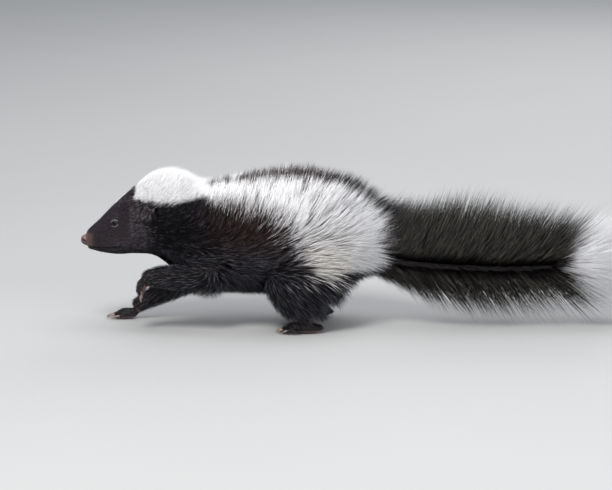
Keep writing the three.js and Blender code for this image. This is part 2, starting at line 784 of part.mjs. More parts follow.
/** Both lids of one eye as a soft ring round the opening. */
function lidSolid(side) {
  const ring = new THREE.TorusGeometry(EYE.radius * LID.ring, LID.width, 4, 10);
  ring.scale(LID.long, LID.high, 1);
  ring.lookAt(gaze(side));
  const middle = new THREE.Vector3(EYE.x, side * EYE.y, EYE.z);
  middle.addScaledVector(gaze(side), EYE.radius * LID.forward);
  ring.translate(middle.x, middle.y, middle.z);
  return solidOf(ring);
}

/** One ear: a low round shell with a hollow cup that faces forward and out. */
function earSolid(side, grow = 0) {
  const pose = (shape, shift) => {
    shape.translate(shift, 0, 0);
    shape.rotateZ(side * radians(EAR.turn));
    shape.rotateX(side * radians(EAR.lean));
    shape.translate(EAR.x, side * EAR.y, EAR.z);
    return solidOf(shape);
  };
  const [wide, tall] = [EAR.width / 2, EAR.height / 2];
  const shell = pose(ellipsoid(EAR.thick + grow, wide + grow, tall + grow, 12, 7), 0);
  if (grow) return shell;
  const cup = ellipsoid(EAR.thick * CUP.deep, wide - CUP.rim, tall - CUP.rim, 9, 6);
  return shell.subtract(pose(cup, -EAR.thick * CUP.forward));
}

/** The bare nose pad without nostrils, grown by a clearance. */
function nosePad(grow = 0) {
  const pad = ellipsoid(NOSE.length / 2 + grow, NOSE.width / 2 + grow, NOSE.height / 2 + grow, 12, 8);
  pad.translate(NOSE.x, 0, NOSE.z);
  return solidOf(pad);
}

/** The bare nose pad with its two nostrils. */
function noseSolid() {
  let nose = nosePad();
  for (const side of [-1, 1]) {
    const hole = ellipsoid(NOSTRIL.depth, NOSTRIL.width, NOSTRIL.height, 8, 6);
    hole.rotateZ(side * radians(NOSTRIL.turn));
    hole.translate(
      NOSE.x - NOSE.length * NOSTRIL.forward,
      side * NOSE.width * NOSTRIL.out,
      NOSE.z - NOSTRIL.low,
    );
    nose = nose.subtract(solidOf(hole));
  }
  return nose;
}

/** The lower jaw's part of the head, below the line of the mouth, grown by a clearance. */
function jawZone(grow = 0) {
  const front = TRUNK[0].x - JAW.front;
  const [upper, middle, lower] = JAW.hinge.map((back) => MOUTH.cornerX + back);
  const shape = new THREE.Shape([
    new THREE.Vector2(front, MOUTH.frontZ + grow),
    new THREE.Vector2(upper, MOUTH.cornerZ + grow),
    new THREE.Vector2(middle + grow, MOUTH.cornerZ - JAW.drop),
    new THREE.Vector2(lower + grow, JAW.floor),
    new THREE.Vector2(front, JAW.floor),
  ]);
  const zone = new THREE.ExtrudeGeometry(shape, { depth: JAW.width, bevelEnabled: false });
  zone.rotateX(Math.PI / 2);
  zone.translate(0, JAW.width / 2, 0);
  return solidOf(zone);
}

/** A lip: a thin soft ridge along the mouth on one side, above or below the line. */
function lipSolid(side, rise) {
  const joints = Array.from({ length: LIP.joints }, (_, i) => {
    const share = i / (LIP.joints - 1);
    const x = THREE.MathUtils.lerp(TRUNK[0].x + LIP.from, MOUTH.cornerX + LIP.past, share);
    const t = stationAt(x);
    const z = THREE.MathUtils.lerp(MOUTH.frontZ, MOUTH.cornerZ, share) + rise;
    const drop = (trunk.mid(t) - z) / (trunk.mid(t) - trunk.bottom(t));
    const y = trunk.half(t) * Math.sqrt(Math.max(0, 1 - drop * drop));
    return { x, y: Math.max(y - LIP.inset, LIP.least), z, r: LIP.thick, w: LIP.thick };
  });
  return tube(joints, side, 0, 4);
}

/** The station number of the trunk at a place along X. */
function stationAt(x) {
  let low = 0;
  let high = LAST;
  for (let i = 0; i < 30; i++) {
    const middle = (low + high) / 2;
    if (trunk.x(middle) < x) low = middle;
    else high = middle;
  }
  return low;
}

// The animal

const SIDES = { left: -1, right: 1 };
const meshes = [];

/** Adds a solid to the model as a named mesh. */
function add(name, solid, colour) {
  meshes.push(meshOf(name, solid, colour));
}

const sides = Object.values(SIDES);
const core = trunkSolid(coreReach);
const coreRoom = trunkSolid((t, angle) => GAP + coreReach(t, angle));
const capRoom = capSlab(GAP);
const eyeRoom = Manifold.union(sides.map((side) => eyeSolid(side, GAP)));
const earRoom = Manifold.union(sides.map((side) => earSolid(side, GAP)));
const noseRoom = nosePad(GAP);
const skull = between(core, null, HEAD_CUT);
const lids = sides.map((side) => lidSolid(side));
const lipRise = LIP.thick + LIP.apart;
const upperLips = Manifold.union(sides.map((side) => lipSolid(side, lipRise)));
const lowerLips = Manifold.union(sides.map((side) => lipSolid(side, -lipRise)));

const face = Manifold.union([skull.subtract(capRoom), ...lids, upperLips]);
add("head", face.subtract(Manifold.union([eyeRoom, jawZone(GAP), earRoom, noseRoom])), "black");
add("lower_jaw", skull.add(lowerLips).intersect(jawZone()).subtract(noseRoom), "black");
add("nose", noseSolid(), "skin");
const cap = capSlab(0);
add("crown", between(cap, null, HEAD_CUT).subtract(earRoom), "white");
add("nape", between(cap, HEAD_CUT, NECK_CUT), "white");
add("neck", between(core, HEAD_CUT, NECK_CUT).subtract(capRoom), "black");

for (const [name, side] of Object.entries(SIDES)) {
  add(`eye_${name}`, eyeSolid(side), "eye");
  add(`ear_${name}`, earSolid(side), "black");
  const stripe = between(stripeSlab(side, 0), NECK_CUT, TAIL_CUT).add(stripeLocks(side, 0));
  add(`stripe_${name}`, between(stripe, NECK_CUT, null), "white");
}

/** One limb with its names, its side and how much further back it stands. */
function limbAt(names, joints, pad, side, back = 0) {
  return {
    ...names,
    joints: joints.map((joint) => ({ ...joint, x: joint.x + back })),
    pad: { ...pad, x: pad.x + back },
    side,
  };
}

const { left, right } = SIDES;
const placed = [
  limbAt({ leg: "fore_leg_left", paw: "fore_paw_left" }, FORE_RAISED, PAW_RAISED, left),
  limbAt({ leg: "fore_leg_right", paw: "fore_paw_right" }, FORE_REACHING, PAW_REACHING, right),
  limbAt({ leg: "hind_leg_left", paw: "hind_foot_left" }, HIND, FOOT, left),
  limbAt({ leg: "hind_leg_right", paw: "hind_foot_right" }, HIND, FOOT, right, HIND_RIGHT_BACK),
];
const legRoom = Manifold.union(placed.map((limb) => tube(limb.joints, limb.side, GAP)));
const whiteSides = sides.flatMap((side) => [stripeSlab(side, GAP), stripeLocks(side, GAP)]);
const stripeRoom = Manifold.union(whiteSides);
const darkLocks = torsoLocks(0).subtract(legRoom);
const torso = between(core, NECK_CUT, TAIL_CUT).add(darkLocks).subtract(stripeRoom);
add("torso", between(torso, NECK_CUT, null), "black");
const bodyRoom = Manifold.union([coreRoom, stripeRoom, torsoLocks(GAP)]);
const ground = underground();
const legCut = Manifold.union([coreRoom, stripeRoom, ground]);
const pawCut = Manifold.union([legRoom, coreRoom, ground]);
for (const limb of placed) {
  add(limb.leg, tube(limb.joints, limb.side).subtract(legCut), "black");
  add(limb.paw, pawSolid(limb.pad, limb.side).subtract(pawCut), "skin");
}

const tail = between(plumeCore(TAIL), TAIL_CUT, TIP_CUT).add(plumeLocks(TAIL, TAIL_LOCKS));
add("tail", between(tail.subtract(bodyRoom), TAIL_CUT, TIP_CUT), "black");
const tip = between(plumeCore(TAIL_TIP), TIP_CUT, null).add(plumeLocks(TAIL_TIP, TIP_LOCKS));
add("tail_tip", between(tip, TIP_CUT, null), "white");

const skunk = new THREE.Group();
skunk.add(...meshes);
const box = new THREE.Box3().setFromObject(skunk);
const middle = box.getCenter(new THREE.Vector3());
skunk.position.set(-middle.x, -middle.y, -box.min.z);

export default skunk;
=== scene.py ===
"""A young striped skunk in mid stride, life size, as a museum shows it.

One skin replaces the solids of flesh. Over it grows a coat of solid tufts that carries the same
markings. Eyes, lids, nose pad, claws and whiskers are pieces of their own. Everything is in metres,
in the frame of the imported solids: the animal faces -X and its left side faces -Y.
"""

import logging
import math
from collections.abc import Callable, Iterator, Sequence
from dataclasses import dataclass, fields, replace
from enum import Enum

import bmesh
import bpy
import numpy as np
from mathutils import Matrix, Vector
from mathutils.kdtree import KDTree


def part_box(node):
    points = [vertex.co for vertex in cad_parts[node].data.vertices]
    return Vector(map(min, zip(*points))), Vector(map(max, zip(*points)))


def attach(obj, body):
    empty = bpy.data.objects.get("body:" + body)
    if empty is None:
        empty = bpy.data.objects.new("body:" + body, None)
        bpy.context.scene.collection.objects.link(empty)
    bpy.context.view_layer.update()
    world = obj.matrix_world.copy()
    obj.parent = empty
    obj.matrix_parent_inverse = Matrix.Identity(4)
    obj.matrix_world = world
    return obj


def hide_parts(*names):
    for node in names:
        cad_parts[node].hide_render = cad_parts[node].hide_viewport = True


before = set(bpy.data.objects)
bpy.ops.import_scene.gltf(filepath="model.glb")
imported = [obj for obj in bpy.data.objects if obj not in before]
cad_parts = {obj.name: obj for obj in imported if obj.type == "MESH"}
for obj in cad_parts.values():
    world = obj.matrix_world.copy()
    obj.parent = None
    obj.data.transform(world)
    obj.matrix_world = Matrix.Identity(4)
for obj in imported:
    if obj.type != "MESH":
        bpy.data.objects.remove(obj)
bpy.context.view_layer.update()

BODY = "root"
LOG = logging.getLogger("skunk")

# The animal's own frame has X = 0 below the last rib. This is how far it lies from the solids' frame.
NOSE_FRONT_X = -0.1644
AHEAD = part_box("nose")[0].x - NOSE_FRONT_X

Array = np.ndarray
Colour = tuple[float, float, float]

MILLIMETRE = 0.001
TRUNK_SAMPLES = 400  # places along the trunk at which a station number is looked up
LIMB_SAMPLES = 48  # places along a limb at which the nearest one is looked for
SMALL_STEP = 0.02  # the step in joint numbers over which a direction is taken
SMALLEST = 1e-12  # keeps a division by a length from failing
BESIDE = Vector((0.12, 0.21, 1.0))  # a direction that no rod runs along
UNWRAP = "OFBake"
PAINT = "Coat"


class Side(Enum):
    """The two sides of the animal, as the sign of Y."""

    LEFT = -1
    RIGHT = 1


class Zone(Enum):
    """The parts of the skin that carry a coat of their own kind."""

    TRUNK = 0
    FORE_LEFT = 1
    FORE_RIGHT = 2
    HIND_LEFT = 3
    HIND_RIGHT = 4
    TAIL = 5
    EAR_LEFT = 6
    EAR_RIGHT = 7


# Curves and small helpers


def through(values: Sequence[float], place: Array | float) -> Array:
    """A smooth curve through evenly spaced values.

    Args:
        values: the values at 0, 1, 2 and so on.
        place: where the curve is read, as one number or an array.

    Returns:
        The curve's value at each place.
    """
    known = np.asarray(values, float)
    known = np.concatenate(([2 * known[0] - known[1]], known, [2 * known[-1] - known[-2]]))
    place = np.clip(np.asarray(place, float), 0, len(values) - 1)
    start = np.minimum(place.astype(int), len(values) - 2)
    part = place - start
    a, b, c, d = (known[start + k] for k in range(4))
    second = (2 * a - 5 * b + 4 * c - d) * part**2
    third = (3 * b - a - 3 * c + d) * part**3
    return 0.5 * (2 * b + (c - a) * part + second + third)


def ramp(low: float, high: float, value: Array) -> Array:
    """A soft step from 0 at low to 1 at high.

    Args:
        low: where the step begins; it may lie above high.
        high: where the step ends.
        value: what is tested.

    Returns:
        A share from 0 to 1 for each value.
    """
    share = np.clip((np.asarray(value, float) - low) / (high - low), 0, 1)
    return share * share * (3 - 2 * share)


def unit(vectors: Array) -> Array:
    """Each row of an array brought to length one."""
    return vectors / np.maximum(np.linalg.norm(vectors, axis=-1, keepdims=True), SMALLEST)


def blend(low: Array, high: Array, share: Array) -> Array:
    """The mix of two arrays of rows by a share for each row."""
    return low + (high - low) * np.asarray(share)[..., None]


def hump(value: Array, width: float) -> Array:
    """A soft hump, 1 where the value is 0 and gone a few widths away."""
    return np.exp(-((value / width) ** 2))


def eased(along: float) -> float:
    """A share from 0 to 1 that starts and ends slowly."""
    return 0.5 - 0.5 * math.cos(math.pi * along)


def rounded(along: float, fullness: float) -> float:
    """The swell of a form with round ends at a share along it; a full one has blunt ends."""
    return min(1.0, fullness * math.sin(math.pi * along) ** 0.5)


def seen_from(pose: Matrix, points: Array) -> Array:
    """Rows of coordinates turned into the frame of a pose."""
    back = pose.inverted()
    return points @ np.array(back.to_3x3()).T + np.array(back.translation)


# Shape of the animal


@dataclass(frozen=True)
class Station:
    """One upright section of the trunk's skin, from the muzzle to the tail root."""

    name: str
    x: float
    top: float
    bottom: float
    mid: float
    half: float


@dataclass(frozen=True)
class Trunk:
    """Head, neck and body as one row of sections."""

    stations: tuple[Station, ...] = (
        Station("muzzle end", -0.1608, 0.0714, 0.0602, 0.0660, 0.0049),
        Station("bridge of the nose", -0.1510, 0.0807, 0.0568, 0.0670, 0.0093),
        Station("eyes", -0.1380, 0.0942, 0.0553, 0.0710, 0.0153),
        Station("forehead", -0.1250, 0.1044, 0.0562, 0.0770, 0.0206),
        Station("ears", -0.1110, 0.1105, 0.0560, 0.0800, 0.0228),
        Station("nape", -0.0940, 0.1105, 0.0470, 0.0800, 0.0240),
        Station("base of the neck", -0.0770, 0.0985, 0.0360, 0.0720, 0.0270),
        Station("shoulders", -0.0580, 0.0970, 0.0320, 0.0690, 0.0295),
        Station("ribs", -0.0360, 0.0960, 0.0310, 0.0680, 0.0300),
        Station("loin", -0.0120, 0.0970, 0.0315, 0.0670, 0.0305),
        Station("hips", 0.0090, 0.0950, 0.0345, 0.0660, 0.0295),
        Station("rump", 0.0280, 0.0870, 0.0410, 0.0640, 0.0240),
        Station("tail root", 0.0420, 0.0715, 0.0480, 0.0600, 0.0125),
        Station("rear end", 0.0490, 0.0650, 0.0530, 0.0590, 0.0060),
    )

    @property
    def last(self) -> int:
        """The number of the last station."""
        return len(self.stations) - 1

    def read(self, name: str, t: Array | float) -> Array:
        """One measure of the sections at station numbers t."""
        return through([getattr(station, name) for station in self.stations], t)

    def station_of(self, x: Array) -> Array:
        """The station number at each place along X."""
        t = np.linspace(0, self.last, TRUNK_SAMPLES)
        return np.interp(x, self.read("x", t), t)

    def point(self, t: float, angle: float, swell: float = 1.0) -> Vector:
        """A point of the trunk's skin.

        Args:
            t: the station number.
            angle: in radians, from 0 at the left side over a quarter turn at the top.
            swell: a factor on the section, less than 1 towards the closed ends.

        Returns:
            The point in the animal's frame.
        """
        top, bottom, mid = (float(self.read(name, t)) for name in ("top", "bottom", "mid"))
        rise = (top - mid) if math.sin(angle) > 0 else (mid - bottom)
        y = -math.cos(angle) * float(self.read("half", t)) * swell
        return Vector((float(self.read("x", t)), y, mid + math.sin(angle) * rise * swell))

    def bearings(self, points: Array) -> tuple[Array, Array, Array]:
        """Where points lie on the trunk.

        Args:
            points: rows of coordinates in the animal's frame.

        Returns:
            The station numbers, the heights round the section in degrees, from -90 below over 0
            at either side to 90 on top, and the distance from the middle as a share of the skin's.
        """
        t = self.station_of(points[:, 0])
        mid = self.read("mid", t)
        rise = np.where(points[:, 2] > mid, self.read("top", t) - mid, mid - self.read("bottom", t))
        up = (points[:, 2] - mid) / rise
        out = np.abs(points[:, 1]) / self.read("half", t)
        return t, np.degrees(np.arctan2(up, out)), np.hypot(up, out)


@dataclass(frozen=True)
class Joint:
    """One place on the line of a limb or the tail: r is half its width, w half its depth."""

    x: float
    y: float
    z: float
    r: float
    w: float


@dataclass(frozen=True)
class Limb:
    """A leg or the tail: a soft tube along its joints."""

    joints: tuple[Joint, ...]
    side: Side | None = None
    back: float = 0.0

    def line(self, t: Array | float) -> Array:
        """The middle line in the animal's frame at joint numbers t."""
        sign = self.side.value if self.side else 1
        x = through([joint.x + self.back for joint in self.joints], t)
        y = through([joint.y * sign for joint in self.joints], t)
        z = through([joint.z for joint in self.joints], t)
        return np.stack([x, y, z], axis=-1)

    def size(self, name: str, t: Array | float) -> Array:
        """Half the width (r) or half the depth (w) at joint numbers t."""
        return through([getattr(joint, name) for joint in self.joints], t)

    @property
    def last(self) -> int:
        """The number of the last joint."""
        return len(self.joints) - 1

    def ahead(self, t: Array | float) -> Array:
        """The direction of the middle line at joint numbers t."""
        t = np.clip(np.asarray(t, float), SMALL_STEP, self.last - SMALL_STEP)
        return unit(self.line(t + SMALL_STEP) - self.line(t - SMALL_STEP))

    def point(self, t: float, angle: float, swell: float) -> Vector:
        """A point of the limb's skin at a joint number, a turn round the line and a swell."""
        ahead = self.ahead(t)
        across = np.array([0.0, 1.0, 0.0])
        rise = unit(np.cross(ahead, across))
        r, w = float(self.size("r", t)) * swell, float(self.size("w", t)) * swell
        return Vector(self.line(t) + across * r * math.cos(angle) + rise * w * math.sin(angle))

    def nearness(self, points: Array) -> tuple[Array, Array]:
        """How near points are to the limb.

        Args:
            points: rows of coordinates in the animal's frame.

        Returns:
            The distance from the line as a share of the limb's size, and the joint number.
        """
        t = np.linspace(0, self.last, LIMB_SAMPLES)
        line, ahead = self.line(t), self.ahead(t)
        rise = unit(np.cross(ahead, np.array([0.0, 1.0, 0.0])))
        away = points[:, None, :] - line[None]
        along = np.abs((away * ahead[None]).sum(-1)) / np.minimum(self.size("r", t), self.size("w", t))
        y = away[..., 1] / self.size("r", t)
        w = (away * rise[None]).sum(-1) / self.size("w", t)
        share = np.sqrt(y**2 + w**2 + along**2)
        best = share.argmin(axis=1)
        return share[np.arange(len(points)), best], t[best]


@dataclass(frozen=True)
class Paw:
    """A paw or foot: its heel, the size of its sole, and its toes and claws."""

    x: float
    y: float
    length: float
    width: float
    height: float
    toe: float
    claw: float
    z: float = 0.0045
    pitch: float = 0.0
    side: Side = Side.LEFT
    toes: int = 5
    toe_radius: float = 0.0019
    fan: float = 12.0
    outer_back: float = 0.0024
    first_back: float = 0.0018
    toe_root: tuple[float, float] = (-0.005, 0.0018)
    toe_rise: float = 0.0002
    claw_drop: float = 0.0006

    @property
    def pose(self) -> Matrix:
        """The paw's place and tilt in the animal's frame."""
        turn = Matrix.Rotation(math.radians(self.pitch), 4, "Y")
        return Matrix.Translation((self.x, self.side.value * self.y, self.z)) @ turn

    def toe_line(self, number: int) -> tuple[Vector, Vector, Vector]:
        """The root, the end and the claw tip of one toe, in the paw's own frame.

        Args:
            number: which toe, from 0.

        Returns:
            Where the toe starts, where it ends and the tip of its claw, in the paw's frame.
        """
        spread = 2 * number / (self.toes - 1) - 1
        set_back = self.outer_back * spread**2 + (self.first_back if number == 0 else 0.0)
        turn = math.radians(self.fan * spread)
        low = -self.height / 2 + self.toe_radius

        def place(along: float, rise: float) -> Vector:
            """A point so far along the toe and so high over its sole."""
            x = -self.length + set_back - along * math.cos(turn)
            y = spread * (self.width / 2 - self.toe_radius) + along * math.sin(turn)
            return Vector((x, y, low + rise))

        end = place(self.toe, self.toe_rise)
        return place(*self.toe_root), end, place(self.toe + self.claw, -self.claw_drop)


@dataclass(frozen=True)
class Animal:
    """All the named sizes of the animal's skin."""

    trunk: Trunk = Trunk()
    fore_left: Limb = Limb(
        (
            Joint(-0.072, 0.014, 0.062, 0.0130, 0.0150),
            Joint(-0.068, 0.0215, 0.044, 0.0110, 0.0120),
            Joint(-0.086, 0.0230, 0.0415, 0.0088, 0.0088),
            Joint(-0.101, 0.0235, 0.0422, 0.0072, 0.0074),
            Joint(-0.111, 0.0235, 0.0413, 0.0062, 0.0062),
            Joint(-0.1152, 0.0240, 0.0390, 0.0056, 0.0056),
        ),
        Side.LEFT,
    )
    fore_right: Limb = Limb(
        (
            Joint(-0.074, 0.014, 0.058, 0.0130, 0.0140),
            Joint(-0.079, 0.0205, 0.038, 0.0105, 0.0108),
            Joint(-0.094, 0.0215, 0.026, 0.0084, 0.0084),
            Joint(-0.110, 0.0218, 0.0178, 0.0066, 0.0066),
            Joint(-0.120, 0.0215, 0.0122, 0.0056, 0.0056),
            Joint(-0.1255, 0.0215, 0.0086, 0.0052, 0.0050),
        ),
        Side.RIGHT,
    )
    hind_joints: tuple[Joint, ...] = (
        Joint(0.007, 0.013, 0.066, 0.0175, 0.0250),
        Joint(0.002, 0.0195, 0.050, 0.0165, 0.0260),
        Joint(-0.002, 0.0235, 0.037, 0.0132, 0.0235),
        Joint(-0.001, 0.0255, 0.026, 0.0102, 0.0180),
        Joint(0.004, 0.0270, 0.016, 0.0076, 0.0120),
        Joint(0.0090, 0.0275, 0.0095, 0.0062, 0.0084),
    )
    hind_right_back: float = 0.008
    tail: Limb = Limb(
        (
            Joint(0.0440, 0.0, 0.0595, 0.0085, 0.0085),
            Joint(0.0640, 0.0, 0.0518, 0.0070, 0.0070),
            Joint(0.0860, 0.0, 0.0483, 0.0060, 0.0060),
            Joint(0.1120, 0.0, 0.0463, 0.0052, 0.0052),
            Joint(0.1400, 0.0, 0.0448, 0.0046, 0.0046),
            Joint(0.1680, 0.0, 0.0450, 0.0040, 0.0040),
            Joint(0.1920, 0.0, 0.0460, 0.0034, 0.0034),
            Joint(0.2110, 0.0, 0.0464, 0.0024, 0.0024),
        )
    )
    paws: tuple[Paw, ...] = (
        Paw(-0.1172, 0.024, 0.0060, 0.0115, 0.0078, 0.0046, 0.0044, 0.0378, -76, Side.LEFT),
        Paw(-0.1260, 0.0215, 0.0100, 0.0125, 0.0080, 0.0056, 0.0058, 0.0040, 0, Side.RIGHT),
        Paw(0.0145, 0.0275, 0.0220, 0.0125, 0.0082, 0.0068, 0.0040, 0.0041, 0, Side.LEFT),
        Paw(0.0225, 0.0275, 0.0220, 0.0125, 0.0082, 0.0068, 0.0040, 0.0041, 0, Side.RIGHT),
    )

    @property
    def limbs(self) -> dict[Zone, Limb]:
        """The legs and the tail by zone."""
        return {
            Zone.FORE_LEFT: self.fore_left,
            Zone.FORE_RIGHT: self.fore_right,
            Zone.HIND_LEFT: Limb(self.hind_joints, Side.LEFT),
            Zone.HIND_RIGHT: Limb(self.hind_joints, Side.RIGHT, self.hind_right_back),
            Zone.TAIL: self.tail,
        }


# Shader building


class Wire:
    """A socket of a shader that can be used in sums and products."""

    def __init__(self, bench: "Bench", socket: bpy.types.NodeSocket) -> None:
        """Keep the bench that makes the nodes and the socket that carries the value."""
        self.bench = bench
        self.socket = socket

    def _with(self, operation: str, *values: "Wire | float") -> "Wire":
        """The result of one Math node on this value and others."""
        return self.bench.wire("ShaderNodeMath", {"operation": operation}, dict(enumerate(values)))

    def __add__(self, other: "Wire | float") -> "Wire":
        """This plus other."""
        return self._with("ADD", self, other)

    def __radd__(self, other: "Wire | float") -> "Wire":
        """Other plus this."""
        return self._with("ADD", other, self)

    def __sub__(self, other: "Wire | float") -> "Wire":
        """This minus other."""
        return self._with("SUBTRACT", self, other)

    def __rsub__(self, other: "Wire | float") -> "Wire":
        """Other minus this."""
        return self._with("SUBTRACT", other, self)

    def __mul__(self, other: "Wire | float") -> "Wire":
        """This times other."""
        return self._with("MULTIPLY", self, other)

    def __rmul__(self, other: "Wire | float") -> "Wire":
        """Other times this."""
        return self._with("MULTIPLY", other, self)

    def __pow__(self, other: float) -> "Wire":
        """This to a power."""
        return self._with("POWER", self, other)


class Bench:
    """The nodes of one material, made one at a time."""

    MIX_FACTOR, MIX_LOW, MIX_HIGH, MIX_RESULT = 0, 6, 7, 2  # a colour mix's sockets by number

    def __init__(self, name: str) -> None:
        """Start an empty node tree with a Principled shader and an output."""
        self.material = bpy.data.materials.new(name)
        self.material.use_nodes = True
        self.tree = self.material.node_tree
        self.tree.nodes.clear()
        self.shader = self.node("ShaderNodeBsdfPrincipled")
        output = self.node("ShaderNodeOutputMaterial")
        self.tree.links.new(self.shader.outputs[0], output.inputs["Surface"])

    def node(self, kind: str, settings: dict | None = None, inputs: dict | None = None) -> bpy.types.Node:
        """Make one node.

        Args:
            kind: the node's type.
            settings: its own settings.
            inputs: values or wires by the name or number of the socket.

        Returns:
            The node.
        """
        made = self.tree.nodes.new(kind)
        for name, value in (settings or {}).items():
            setattr(made, name, value)
        for key, value in (inputs or {}).items():
            self.set(made.inputs[key], value)
        return made

    def wire(
        self, kind: str, settings: dict | None = None, inputs: dict | None = None, output: int | str = 0
    ) -> Wire:
        """Make one node and give back one of its outputs as a wire."""
        return Wire(self, self.node(kind, settings, inputs).outputs[output])

    def set(self, socket: bpy.types.NodeSocket, value: "Wire | float | tuple") -> None:
        """Link a wire to a socket, or set the socket's own value."""
        if isinstance(value, Wire):
            self.tree.links.new(value.socket, socket)
        else:
            socket.default_value = value

    def finish(self, **values: "Wire | float | tuple") -> bpy.types.Material:
        """Set the shader's sockets, named with _ for spaces, and return the material."""
        for name, value in values.items():
            self.set(self.shader.inputs[name.replace("_", " ")], value)
        return self.material

    def grain(self, scale: float, detail: float = 2.0, roughness: float = 0.5) -> Wire:
        """Soft noise over the piece's own coordinates, from 0 to 1."""
        place = self.wire("ShaderNodeTexCoord", output="Object")
        inputs = {"Vector": place, "Scale": scale, "Detail": detail, "Roughness": roughness}
        return self.wire("ShaderNodeTexNoise", {"noise_dimensions": "3D"}, inputs)

    def painted(self, attribute: str) -> Wire:
        """The colour that is painted on the piece's points."""
        return self.wire("ShaderNodeAttribute", {"attribute_name": attribute}, output="Color")

    def mixed(
        self, factor: "Wire | float", low: "Wire | tuple", high: "Wire | tuple", way: str = "MIX"
    ) -> Wire:
        """Two colours mixed by a factor."""
        settings = {"data_type": "RGBA", "blend_type": way}
        inputs = {self.MIX_FACTOR: factor, self.MIX_LOW: low, self.MIX_HIGH: high}
        return self.wire("ShaderNodeMix", settings, inputs, self.MIX_RESULT)

    def bump(self, height: Wire, strength: float, distance: float) -> Wire:
        """A bump from a height, for the shader's normal."""
        inputs = {"Height": height, "Strength": strength, "Distance": distance}
        return self.wire("ShaderNodeBump", None, inputs, "Normal")


# Finishes


@dataclass(frozen=True)
class CoatFinish:
    """Hair in the painted colour of each tuft, the white rougher than the black."""

    name: str = "hair"
    dark_roughness: float = 0.38
    white_roughness: float = 0.2
    variation: float = 0.16
    speckle_size: float = 900.0
    shine: float = 0.16

    def make(self) -> bpy.types.Material:
        """Build the material.

        Returns:
            The material.
        """
        bench = Bench(self.name)
        colour = bench.painted(PAINT)
        light = bench.wire("ShaderNodeSeparateColor", None, {"Color": colour}, "Green")
        speckle = bench.grain(self.speckle_size, 1.0)
        shade = 1 - self.variation * speckle
        toned = bench.mixed(1.0, colour, self._grey(bench, shade), "MULTIPLY")
        return bench.finish(
            Base_Color=toned,
            Roughness=self.dark_roughness + self.white_roughness * light,
            Specular_IOR_Level=self.shine,
        )

    @staticmethod
    def _grey(bench: Bench, value: Wire) -> Wire:
        """A value as a grey colour."""
        return bench.wire("ShaderNodeCombineColor", None, {0: value, 1: value, 2: value})


@dataclass(frozen=True)
class SkinFinish:
    """Skin under the coat, bare and pebbled on nose, soles and round the eyes."""

    name: str = "skin"
    pebble_size: float = 1500.0
    fold_size: float = 260.0
    crease: tuple[float, float, float, float] = (0.02, 0.012, 0.012, 1.0)
    crease_share: float = 0.6
    fold_share: float = 0.4
    smooth_roughness: float = 0.48
    pebble_roughness: float = 0.25
    relief: float = 0.0006
    shine: float = 0.22

    def make(self) -> bpy.types.Material:
        """Build the material.

        Returns:
            The material.
        """
        bench = Bench(self.name)
        colour = bench.painted(PAINT)
        pebbles = bench.grain(self.pebble_size, 3.0)
        folds = bench.grain(self.fold_size, 3.0, 0.6)
        creased = bench.mixed(self.crease_share, colour, self.crease)
        mottled = bench.mixed(0.5 * folds, colour, creased)
        height = (1 - self.fold_share) * pebbles + self.fold_share * folds
        return bench.finish(
            Base_Color=mottled,
            Roughness=self.smooth_roughness + self.pebble_roughness * pebbles,
            Normal=bench.bump(height, 0.5, self.relief),
            Specular_IOR_Level=self.shine,
        )


@dataclass(frozen=True)
class EyeFinish:
    """A wet, nearly black eye with a brown cloud in it."""

    name: str = "eye"
    black: tuple[float, float, float, float] = (0.002, 0.0016, 0.002, 1.0)
    brown: tuple[float, float, float, float] = (0.008, 0.004, 0.004, 1.0)
    cloud_size: float = 500.0
    shine: float = 0.2

    def make(self) -> bpy.types.Material:
        """Build the material."""
        bench = Bench(self.name)
        cloud = bench.grain(self.cloud_size, 3.0)
        return bench.finish(
            Base_Color=bench.mixed(cloud**2, self.black, self.brown),
            Roughness=0.03 + 0.02 * cloud,
            Specular_IOR_Level=self.shine,
        )


@dataclass(frozen=True)
class ClawFinish:
    """Pale horn, clouded with brown and finely grained."""

    name: str = "claw"
    horn: tuple[float, float, float, float] = (0.36, 0.29, 0.24, 1.0)
    brown: tuple[float, float, float, float] = (0.10, 0.065, 0.05, 1.0)
    cloud_size: float = 420.0
    grain_size: float = 2200.0
    relief: float = 0.0002

    def make(self) -> bpy.types.Material:
        """Build the material."""
        bench = Bench(self.name)
        cloud = bench.grain(self.cloud_size, 4.0, 0.7)
        return bench.finish(
            Base_Color=bench.mixed(cloud, self.brown, self.horn),
            Roughness=0.3 + 0.2 * cloud,
            Normal=bench.bump(bench.grain(self.grain_size, 2.0), 0.25, self.relief),
        )


@dataclass(frozen=True)
class FloorFinish:
    """A plain pale floor with the faintest mottle."""

    name: str = "pale floor"
    dark: tuple[float, float, float, float] = (0.43, 0.43, 0.425, 1.0)
    light: tuple[float, float, float, float] = (0.46, 0.46, 0.455, 1.0)
    cloud_size: float = 3.0

    def make(self) -> bpy.types.Material:
        """Build the material."""
        bench = Bench(self.name)
        cloud = bench.grain(self.cloud_size, 2.0)
        return bench.finish(Base_Color=bench.mixed(cloud, self.dark, self.light), Roughness=0.8)


# Markings, shared by skin and coat


